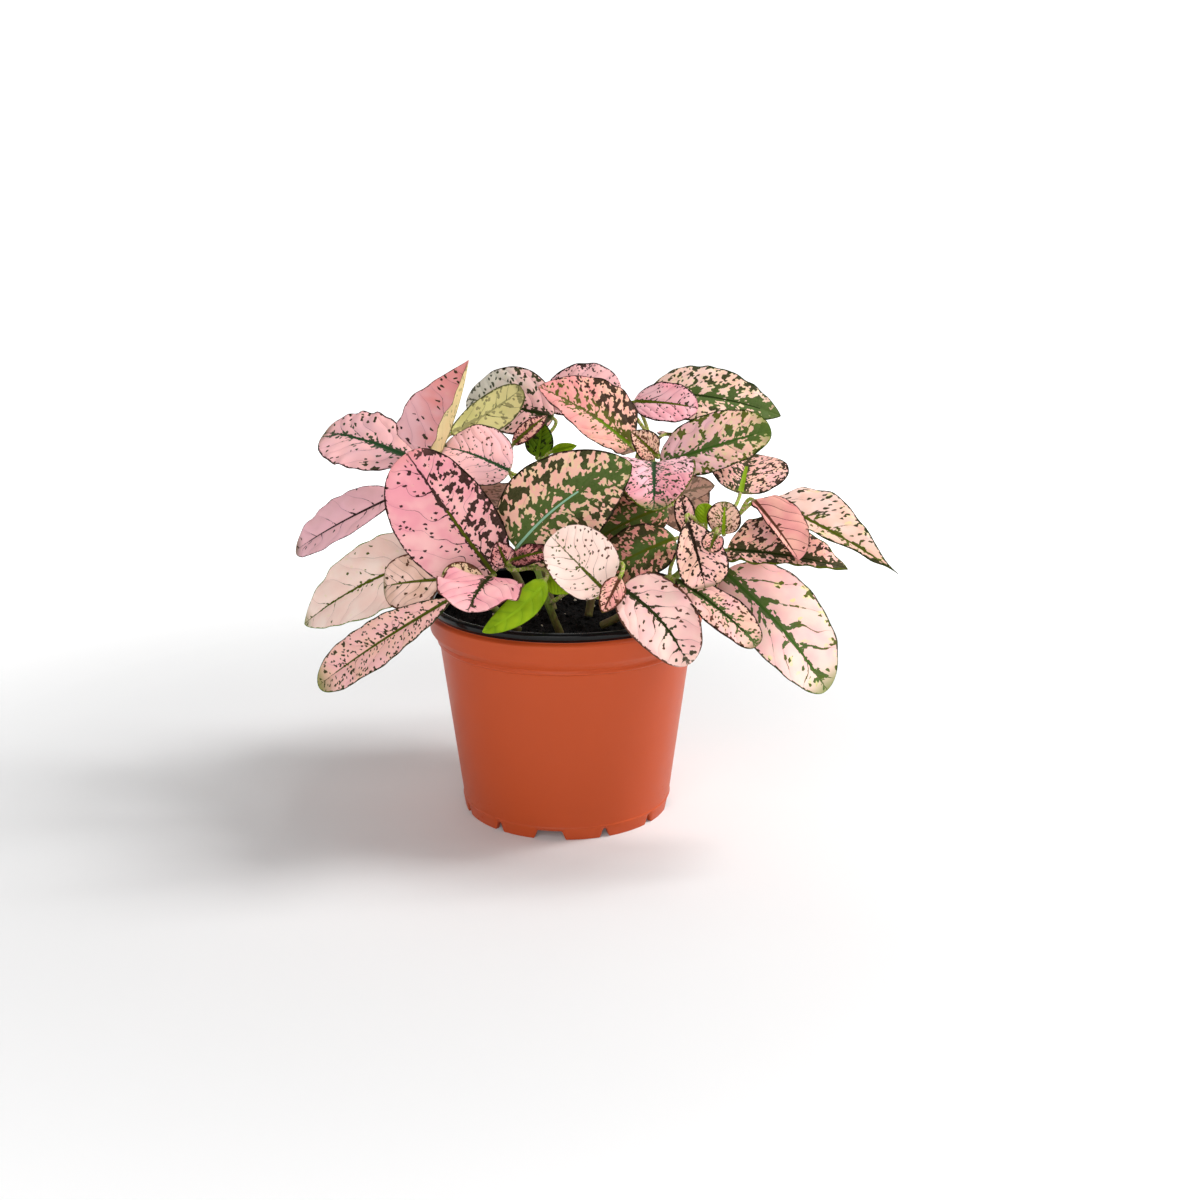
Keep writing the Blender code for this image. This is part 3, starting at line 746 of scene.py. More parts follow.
@dataclass(frozen=True)
class LeafFinish:
    """Colours and pattern of one leaf. Pigment sits in small cells, long in the direction of the side veins.

    Densities run from about 0, few spots, to 1, nearly all pigment. more_left adds to one half of the blade.
    """

    tone: Tone = PINK
    second: Tone = SALMON
    lean_along: float = 0.0
    ink: Tone = BOTTLE
    green: Tone = PINE
    rib: Tone = MOSS
    rib_reach: float = 0.85
    rib_width: float = 0.75
    band: float = 1.2
    tree: float = 0.5
    tree_reach: float = 0.5
    spots: float = 0.3
    near_rib: float = 0.15
    near_edge: float = 0.15
    more_left: float = 0.0
    more_tip: float = 0.0
    dash: float = 0.08
    size: float = 1.2
    halo: float = 0.3
    edge: Tone = BOTTLE
    edge_width: float = 0.75
    tip: Tone = MOSS
    tip_start: float = 0.9
    vein: float = 0.3
    under: Tone = TAN

    def material(self, name: str, half: float, gap: float, seed: int) -> bpy.types.Material:
        """Build the leaf's skin.

        The mesh gives the way along and across the blade in millimetres, the flow (equal along each side
        vein), the share of the way to the tip and to the margin, and the distance from the margin.

        Args:
            name: The leaf's name.
            half: Half of its width in millimetres.
            gap: Distance between its side veins in millimetres.
            seed: Which pattern it has.

        Returns:
            The material.
        """
        graph = Graph("blade_" + name, 0.5, Specular_IOR_Level=0.06)
        along, across, flow = graph.attribute("blade")
        reach, spread, rim = graph.attribute("share")
        under = graph.attribute("layer")[0]
        left, out = across > 0, abs(across)
        phase = flow / gap + left * 0.5
        vein = (0.5 - abs(phase.fract() - 0.5)) * gap
        # The quilted tissue between the side veins: it shapes the bump and also masks a painted highlight.
        bulge_and_highlight = vein.ramp(0.0, gap * 0.32) * spread.ramp(1.0, 0.85) * spread.ramp(0.0, 0.2)
        over_veins, with_veins = along * 0.8 - out * 0.6, along * 0.6 + out * 0.8
        down = with_veins * (0.95 / self.size) + left * 53.0
        spot = graph.join(over_veins * (1.3 / self.size) + seed, down, 0.0)
        cell = graph.node("ShaderNodeTexVoronoi", {"voronoi_dimensions": "2D"}, {"Vector": spot, "Scale": 1.0})
        chance, second_chance, _ = graph.split(cell.outputs["Color"])
        patch = graph.noise(cell.outputs["Position"], 0.3, 1.5)
        cloud = graph.noise(graph.join(along, across, float(seed)), 0.11, 2.0)
        fine = graph.noise(graph.join(along, across, float(seed)), 1.3, 3.0)

        density = self.spots + self.near_rib * out.ramp(half * 0.45, 0.0)
        density = density + self.near_edge * spread.ramp(0.68, 1.0)
        density = density + self.more_left * (left - 0.5) * out.ramp(0.0, half * 0.35)
        density = density + self.more_tip * (reach - 0.5)
        limit = 0.73 - 0.40 * density
        field = patch + (chance - 0.5) * 0.16
        pigment = (field > limit).larger(second_chance > 1 - self.dash)
        teeth = out < self.band * (1.1 - reach) * (0.35 + 1.3 * chance)
        twig = self.tree * (1.8 * second_chance) * (patch * 4 - 1.2)
        branch = vein < twig * spread.ramp(self.tree_reach, 0.0)
        pigment = pigment.larger(teeth).larger(branch)
        margin = rim < self.edge_width * (0.55 + 0.9 * chance)
        rib = (out < self.rib_width * ((1 - reach).larger(0.0) ** 0.7) + 0.08) * (reach < self.rib_reach)
        lean = 0.5 + self.lean_along * (reach - 0.5) + (cloud - 0.5) * 1.6

        skin = graph.mix(lean.ramp(0.1, 0.9), self.tone.value, self.second.value)
        # Painted highlight: the bulges between the side veins are lightened with cream.
        skin = graph.mix(bulge_and_highlight * 0.22, skin, CREAM.value, "SOFT_LIGHT")
        skin = graph.mix(field.ramp(limit - 0.09, limit) * self.halo, skin, STRAW.value)
        line = (vein < 0.2 - 0.12 * spread) * self.vein
        skin = graph.mix(line, skin, SEPIA.value, "MULTIPLY")
        depth = out.ramp(half * 0.12, half * 0.75) * 0.8 + (cloud - 0.5) * 0.8 + chance * 0.25
        stain = graph.mix(depth.ramp(0.1, 0.75), self.green.value, self.ink.value)
        skin = graph.mix(pigment * (0.9 + 0.1 * fine), skin, stain)
        skin = graph.mix(rib * 0.9, skin, self.rib.value)
        skin = graph.mix(margin * 0.95, skin, self.edge.value)
        pale = graph.mix(pigment * 0.45 + line * 0.5, self.under.value, self.green.value)
        pale = graph.mix(margin * 0.8, pale, self.edge.value)
        skin = graph.mix((under > 0.5) * 0.8, skin, pale)
        skin = graph.mix(reach.ramp(self.tip_start, 1.02) * 0.85 * (1 - pigment * 0.8), skin, self.tip.value)
        stem = graph.mix(fine.ramp(0.35, 0.75), LIME.value, TAN.value)
        skin = graph.mix(along.ramp(1.5, -1.5), skin, stem)

        roughness = 0.43 + 0.16 * fine + 0.1 * (under > 0.5) - 0.04 * pigment
        crease = vein.ramp(0.0, 0.5) * 0.5 + out.ramp(0.0, 0.9) * 0.5
        height = bulge_and_highlight * 0.35 + crease * 0.4 + fine * 0.25
        return graph.finish(skin, roughness, height, 0.22)


@dataclass(frozen=True)
class LeafShape:
    """How one leaf grows: its stalk leaves its shoot at a place, and its blade runs from base to tip.

    The blade faces an azimuth, from the front towards the right, and an elevation. Its half-width at share s
    of the way is s^p (1-s)^q, scaled to the width. Arch and side bow the midrib, fold lifts the halves, skew
    widens one of them, and wave ruffles the margin.
    """

    place: float
    base: Point
    tip: Point
    width: float
    azimuth: float
    elevation: float
    p: float = 0.55
    q: float = 0.8
    arch: float = 0.08
    side: float = 0.0
    fold: float = 0.12
    skew: float = 0.0
    wave: float = 0.0


@dataclass(frozen=True)
class Stations:
    """The rings of a leaf from the foot of its stalk to its tip, one row each."""

    centre: np.ndarray
    flat: np.ndarray
    normal: np.ndarray
    half: np.ndarray
    thick: np.ndarray
    reach: np.ndarray
    along: np.ndarray


@dataclass
class Leaf:
    """One leaf: a round stalk that widens into a quilted, gently ruffled blade."""

    name: str
    shape: LeafShape
    finish: LeafFinish
    shoot: Shoot
    stalk_radius: float = 0.8
    foot_sunk: float = 0.5
    blade_half_thickness: float = 0.2
    stalk_rings: int = 14
    veins_each_side: float = 5.2
    small: float = 17.0

    @property
    def seed(self) -> int:
        """A number of the leaf's own, from its name."""
        return sum(ord(letter) * 7 ** k for k, letter in enumerate(self.name)) % 997

    @property
    def length(self) -> float:
        """The blade's length from base to tip."""
        return float(np.linalg.norm(np.subtract(self.shape.tip, self.shape.base)))

    def blade(self, s: np.ndarray) -> tuple[np.ndarray, np.ndarray, np.ndarray, np.ndarray]:
        """Follow the midrib: the chord plus 4s(1-s) of the arch towards the face and of the bow to the left.

        Args:
            s: Shares of the way from base to tip, as a column.

        Returns:
            Midrib points, unit tangents, the upper side's normals and the directions across.
        """
        shape = self.shape
        base, axis = np.array(shape.base, float), np.subtract(shape.tip, shape.base).astype(float)
        a, e = math.radians(shape.azimuth), math.radians(shape.elevation)
        face = np.array((math.sin(a) * math.cos(e), -math.cos(a) * math.cos(e), math.sin(e)))
        way = unit(axis)
        face = unit(face - (face @ way) * way)
        bend = self.length * (shape.arch * face + shape.side * np.cross(face, way))
        centre = base + axis * s + 4 * s * (1 - s) * bend
        tangent = unit(axis + 4 * (1 - 2 * s) * bend)
        normal = unit(face - (tangent @ face)[:, None] * tangent)
        return centre, tangent, normal, np.cross(normal, tangent)

    def stations(self) -> Stations:
        """Place the rings; the stalk is a cubic curve, square to the shoot and in line with the midrib."""
        shape = self.shape
        count = 46 if shape.width < self.small else 78
        s = ((1 - np.cos(math.pi * np.linspace(0, 1, count) ** 0.92)) / 2)[:, None]
        s[-1] = 1.0
        centre, tangent, normal, flat = self.blade(s)
        root, stem, radius = self.shoot.curve(shape.place)
        way = centre[0] - root
        outward = unit(way - (way @ stem) * stem)
        start_way = unit(outward + 0.7 * stem)
        start = root + outward * (radius - self.foot_sunk + self.stalk_radius * (start_way @ stem))
        reach = np.linalg.norm(centre[0] - start) * 0.38
        u = np.linspace(0, 1, self.stalk_rings, endpoint=False)[:, None]
        knots = (start, start + start_way * reach, centre[0] - tangent[0] * reach, centre[0])
        weights = ((1 - u) ** 3, 3 * u * (1 - u) ** 2, 3 * u**2 * (1 - u), u**3)
        slopes = (3 * (1 - u) ** 2, 6 * u * (1 - u), 3 * u**2)
        path = sum(w * k for w, k in zip(weights, knots))
        path_tangent = unit(sum(w * (b - a) for w, a, b in zip(slopes, knots, knots[1:])))
        path_normal = [normal[0]]
        for way in path_tangent[::-1]:
            path_normal.append(unit(path_normal[-1] - (path_normal[-1] @ way) * way))
        path_normal = np.array(path_normal[:0:-1])
        widest = shape.p / (shape.p + shape.q)
        share = s[:, 0]
        outline = (share / widest) ** shape.p * ((1 - share) / (1 - widest)) ** shape.q
        half = np.sqrt((shape.width / 2 * outline) ** 2 + (self.stalk_radius * (1 - share)) ** 2)
        thin = self.blade_half_thickness
        thick = thin + (self.stalk_radius - thin) * (1 - share) ** 6
        stalk = self.stalk_radius * (1 + 0.35 * np.exp(-((u[:, 0] / 0.08) ** 2)))
        backward = np.linalg.norm(path - centre[0], axis=1)
        forward = np.concatenate([[0], np.cumsum(np.linalg.norm(np.diff(centre, axis=0), axis=1))])
        return Stations(
            np.vstack([path, centre]),
            np.vstack([np.cross(path_normal, path_tangent), flat]),
            np.vstack([path_normal, normal]),
            np.concatenate([stalk, half]),
            np.concatenate([stalk, thick]),
            np.concatenate([0 * stalk, share]),
            np.concatenate([-backward, forward]),
        )

    def build(self) -> None:
        """Lay a ring of points on each station and quilt the blade between its side veins.

        A point at share v of the half-width w lies w v across and w fold |v| up. Side veins are lines of
        equal flow, along - 0.75 a - 0.42 a^2 / half at distance a from the midrib. The tissue bulges between
        them by the sine of the phase, sinks along the midrib and ruffles towards the margin.
        """
        shape, rows = self.shape, self.stations()
        across = 25 if shape.width < self.small else 45
        v = np.sin(np.linspace(-1, 1, across) * math.pi / 2)
        ring = np.concatenate([v, v[-2:0:-1]])
        upper = np.concatenate([np.ones(across), -np.ones(across - 2)])
        s, reach = rows.reach[:, None], np.minimum(1, 8 * rows.reach)[:, None]
        w = rows.half[:, None] * (1 + shape.skew * np.sign(ring) * reach)
        size = np.abs(ring)[None]
        side_way = w * ring[None] / math.sqrt(1 + shape.fold**2)
        distance, gap, widest = w * size, self.length / self.veins_each_side, shape.width / 2
        along = rows.along[:, None] + 0 * w
        drift = 0.2 * gap * ripple(along / 16, side_way / 16, self.seed)
        flow = along - 0.75 * distance - 0.42 * distance**2 / widest + drift
        phase = flow / gap + 0.5 * (side_way > 0)
        blade = step(rows.reach, 0.02, 0.12)[:, None]
        quilt = np.sin(math.pi * (phase % 1)) ** 0.8 * step(size, 0.05, 0.3) * step(size, 1.0, 0.75)
        relief = min(0.32, 0.035 * gap) * quilt - 0.45 * np.exp(-((distance / 1.1) ** 2)) * (1 - s)
        edge = size**3 * (0.55 * ripple(along / 11, np.sign(side_way) * 3.7, self.seed + 5, 5))
        gentle = 0.5 * ripple(along / 24, side_way / 24, self.seed + 9, 5) * size
        relief = blade * np.minimum(1, 6 * (1 - s)) * (relief + edge * min(1.0, widest / 12) + gentle)
        ruffle = shape.wave * rows.half[:, None] * 2 * size**2
        ruffle = ruffle * np.sin(5 * math.pi * s + 1.3 * np.sign(ring)[None])
        fold = w * shape.fold * size * reach + ruffle * np.minimum(1, 5 * s * (1 - s))
        round_ = (1 - size ** (2 + 4 * reach)) ** 0.5 * upper
        lift = fold + relief + rows.thick[:, None] * round_
        points = rows.centre[:, None] + rows.flat[:, None] * side_way[..., None]
        points = points + rows.normal[:, None] * lift[..., None]
        body = points[:-1].reshape(-1, 3)
        ends = np.stack([rows.centre[0], rows.centre[-1]])

        def mark(first: np.ndarray, second: np.ndarray, third: np.ndarray, tip: Point) -> np.ndarray:
            """Rows of an attribute for the rings' points, the foot's and the tip's."""
            grid = np.stack(np.broadcast_arrays(first, second, third), -1)[:-1].reshape(-1, 3)
            return np.vstack([grid, grid[:1], tip])

        tip_along = float(rows.along[-1])
        marks = {
            "blade": mark(along, side_way, flow, (tip_along, 0.0, tip_along)),
            "share": mark(s + 0 * w, size + 0 * w, w * (1 - size), (1.0, 1.0, 0.0)),
            "layer": mark((upper < 0) + 0.0 * w, 0.0 * w, 0.0 * w, (0.0, 0.0, 0.0)),
        }
        quads, triangles = tube_faces(len(rows.reach) - 1, len(ring))
        piece = mesh_piece("blade_" + self.name, np.vstack([body, ends]), quads, triangles, **marks)
        material = self.finish.material(self.name, widest, gap, self.seed)
        slot = "leaf_green" if self.finish in GREEN_FINISHES else "leaf"
        settle(piece, "leaf_" + self.name, material)


SHOOTS = {
    "a": Shoot("a", (-14, 6, 85), (-26, 10, 118), (-56, 9, 150)),
    "b": Shoot("b", (-20, -16, 85), (-32, -24, 100), (-48, -24, 112)),
    "c": Shoot("c", (-2, -20, 85), (-8, -28, 102), (-12, -36, 122)),
    "d": Shoot("d", (10, 6, 85), (16, 14, 125), (38, 6, 166)),
    "e": Shoot("e", (-6, 16, 85), (-16, 26, 120), (-11, 33, 161)),
    "f": Shoot("f", (16, -12, 86), (46, -24, 104), (66, -40, 138)),
    "g": Shoot("g", (16, 20, 86), (28, 44, 110), (42, 52, 142)),
}

LEAVES = {
    "a1": LeafShape(0.9, (-68, 9, 156), (-108, 28, 164), 32, -8, 48, p=0.5, q=0.48, skew=0.1),
    "a2": LeafShape(
        1.0, (-58, 3, 152), (-41, 6, 199), 38, -56, 8, p=0.45, q=1.0, arch=-0.05, fold=0.8, skew=0.1,
    ),
    "a3": LeafShape(0.72, (-76, 26, 136), (-128, 48, 105), 27, 0, 50, p=0.6, q=0.5, arch=0.03, skew=-0.1),
    "a4": LeafShape(0.97, (-50, 14, 166), (-19, 20, 185), 18, 150, -10, p=0.6, q=0.45, fold=0.2),
    "b1": LeafShape(0.9, (-58, -6, 115), (-116, 0, 83), 40, -8, 50, p=0.42, q=0.75),
    "b2": LeafShape(0.6, (-46, -40, 106), (-105, -32, 65), 22, 2, 42, p=0.8, q=0.5, arch=0.04),
    "b3": LeafShape(1.0, (-29, -36, 116), (-62, -46, 168), 41, -12, 20, p=0.4, q=0.42, arch=0.05, skew=0.14),
    "b4": LeafShape(0.45, (-29, -52, 118), (-36, -81, 112), 35, 0, 66, p=0.45, q=0.5, wave=0.07),
    "b5": LeafShape(0.97, (-33, -46, 112), (-49, -49, 119), 15, 0, 30, p=0.5, q=0.5),
    "b6": LeafShape(0.75, (-53, -25, 110), (-77, -21, 106), 25, -5, 30, p=0.5, q=0.45),
    "c1": LeafShape(
        1.0, (-19, -38, 127), (28, -50, 164), 44, 0, 26, p=0.35, q=0.7, arch=0.04, side=0.06, skew=-0.05,
    ),
    "c2": LeafShape(0.6, (17, -60, 115), (-4, -64, 138), 27, -8, 20, p=0.4, q=0.4, skew=-0.15),
    "c3": LeafShape(0.45, (23, -67, 122), (16, -72, 109), 10, 5, 20),
    "c4": LeafShape(0.96, (-21, -48, 124), (-2, -52, 129), 11, 0, 50),
    "c6": LeafShape(0.9, (-23, -41, 120), (-27, -43, 131), 11, 0, 30),
    "c7": LeafShape(0.9, (-7, -57, 118), (-31, -75, 102), 12, 30, 30, p=0.5, q=0.7, side=0.06),
    "c8": LeafShape(0.7, (-6, -50, 117), (4, -58, 113), 12, 10, 20, side=0.1),
    "d1": LeafShape(
        0.92, (28, -6, 164), (-11, -6, 189), 28, 14, 34, p=0.45, arch=0.05, side=-0.03, skew=-0.25,
    ),
    "d2": LeafShape(0.97, (36, 30, 181), (94, 12, 174), 33, 8, 48, p=0.5),
    "d3": LeafShape(0.99, (30, 6, 181), (57, 0, 179), 19, 0, 35, p=0.5, q=0.5),
    "d4": LeafShape(0.96, (41, -8, 156), (87, -14, 172), 29, 8, 44, p=0.42, q=0.45, arch=0.03, skew=0.1),
    "d5": LeafShape(0.88, (38, -14, 158), (37, -44, 144), 35, 0, 66, p=0.35, q=0.5, arch=0.15, fold=0.25),
    "d6": LeafShape(0.6, (43, -22, 141), (8, -31, 125), 28, -6, 42, p=0.5, q=0.5),
    "d7": LeafShape(0.8, (46, -12, 143), (64, -12, 148), 15, 0, 150),
    "d8": LeafShape(0.98, (39, -8, 160), (28, -12, 171), 13, 0, 35),
    "d9": LeafShape(0.8, (32, 26, 160), (26, 56, 149), 28, 185, 55),
    "e1": LeafShape(0.8, (-24, 3, 151), (-53, 9, 161), 33, 0, 50, p=0.5, q=0.6),
    "e2": LeafShape(1.0, (-6, 38, 169), (-46, 50, 176), 33, -8, 32, q=0.6, skew=-0.15),
    "e3": LeafShape(1.0, (-10, 47, 175), (25, 44, 181), 27, 0, 36, p=0.5, q=0.45, skew=0.1),
    "e4": LeafShape(0.6, (-23, 16, 161), (-8, 22, 173), 8, 0, 30),
    "e5": LeafShape(0.9, (-13, 24, 154), (-10, 26, 169), 13, 0, 20),
    "e6": LeafShape(0.75, (-6, 20, 157), (5, 18, 160), 5, 10, 20),
    "e7": LeafShape(0.6, (4, 48, 143), (21, 77, 120), 38, 170, 50),
    "e8": LeafShape(0.5, (-13, 48, 134), (-44, 75, 113), 38, 200, 50),
    "e9": LeafShape(0.35, (-26, 38, 126), (-76, 62, 104), 38, 215, 50),
    "f1": LeafShape(
        0.98, (74, -22, 147), (80, 3, 159), 35, 10, 60, p=0.45, q=0.5, arch=0.05, fold=0.2, skew=-0.05,
    ),
    "f2": LeafShape(0.93, (83, -34, 146), (130, -80, 127), 25, 16, 48, p=0.7, q=1.6, arch=0.04, skew=0.4),
    "f3": LeafShape(0.85, (67, -46, 128), (115, -54, 122), 25, 4, 56, p=0.35, q=0.85, arch=0.05, skew=0.45),
    "f4": LeafShape(1.0, (77, -48, 149), (94, -62, 128), 14, 10, 20, p=0.5, q=0.5, fold=0.2, skew=0.65),
    "f5": LeafShape(1.0, (65, -50, 136), (65, -54, 150), 14, -10, 15, p=0.5, q=0.45),
    "f6": LeafShape(0.72, (61, -60, 138), (58, -65, 132), 9, 0, 20, p=0.5, q=0.45),
    "f7": LeafShape(0.81, (58, -46, 139), (57, -44, 147), 8, 0, 20, p=0.5, q=0.45),
    "f8": LeafShape(0.9, (50, -54, 142), (57, -64, 117), 21, 6, 20, p=0.75, q=0.38, skew=0.1),
    "f9": LeafShape(0.75, (52, -43, 132), (48, -41, 150), 9, 0, 15, p=0.6, q=0.5),
    "f10": LeafShape(0.65, (66, -43, 118), (108, -58, 72), 38, 22, 34, p=0.4, q=0.5, skew=0.12),
    "f11": LeafShape(0.5, (46, -52, 117), (77, -77, 97), 17, 16, 36, p=0.7, q=0.4),
    "f12": LeafShape(0.3, (24, -62, 116), (50, -71, 87), 28, 8, 26, p=0.38, q=0.5, side=0.07, skew=0.05),
    "f13": LeafShape(0.55, (46, -38, 131), (16, -44, 118), 24, -4, 34, p=0.5, q=0.5),
    "g1": LeafShape(1.0, (46, 55, 159), (79, 77, 143), 38, 140, 50),
    "g2": LeafShape(0.85, (42, 62, 140), (58, 79, 105), 38, 160, 40),
    "g3": LeafShape(0.55, (28, 50, 121), (8, 77, 99), 38, 185, 40),
}

PLAIN_GREEN = LeafFinish(
    GRASS, LIME, rib=LIME, band=0, tree=0, spots=-1, near_rib=0, near_edge=0, dash=0, halo=0, edge=MOSS,
    edge_width=0.15, tip=LIME, vein=0.15, under=LIME,
)
DARK_GREEN = LeafFinish(HOLLY, GRASS, rib=GRASS, spots=0.1, halo=0, edge=PINE, under=HOLLY)
BUD_GREEN = LeafFinish(
    LIME, GRASS, rib=GRASS, band=0, tree=0, spots=-1, near_rib=0, near_edge=0, dash=0, halo=0, edge=GRASS,
    edge_width=0.1, tip=GRASS, vein=0.1, under=GRASS,
)
GREEN_FINISHES = (PLAIN_GREEN, DARK_GREEN, BUD_GREEN)

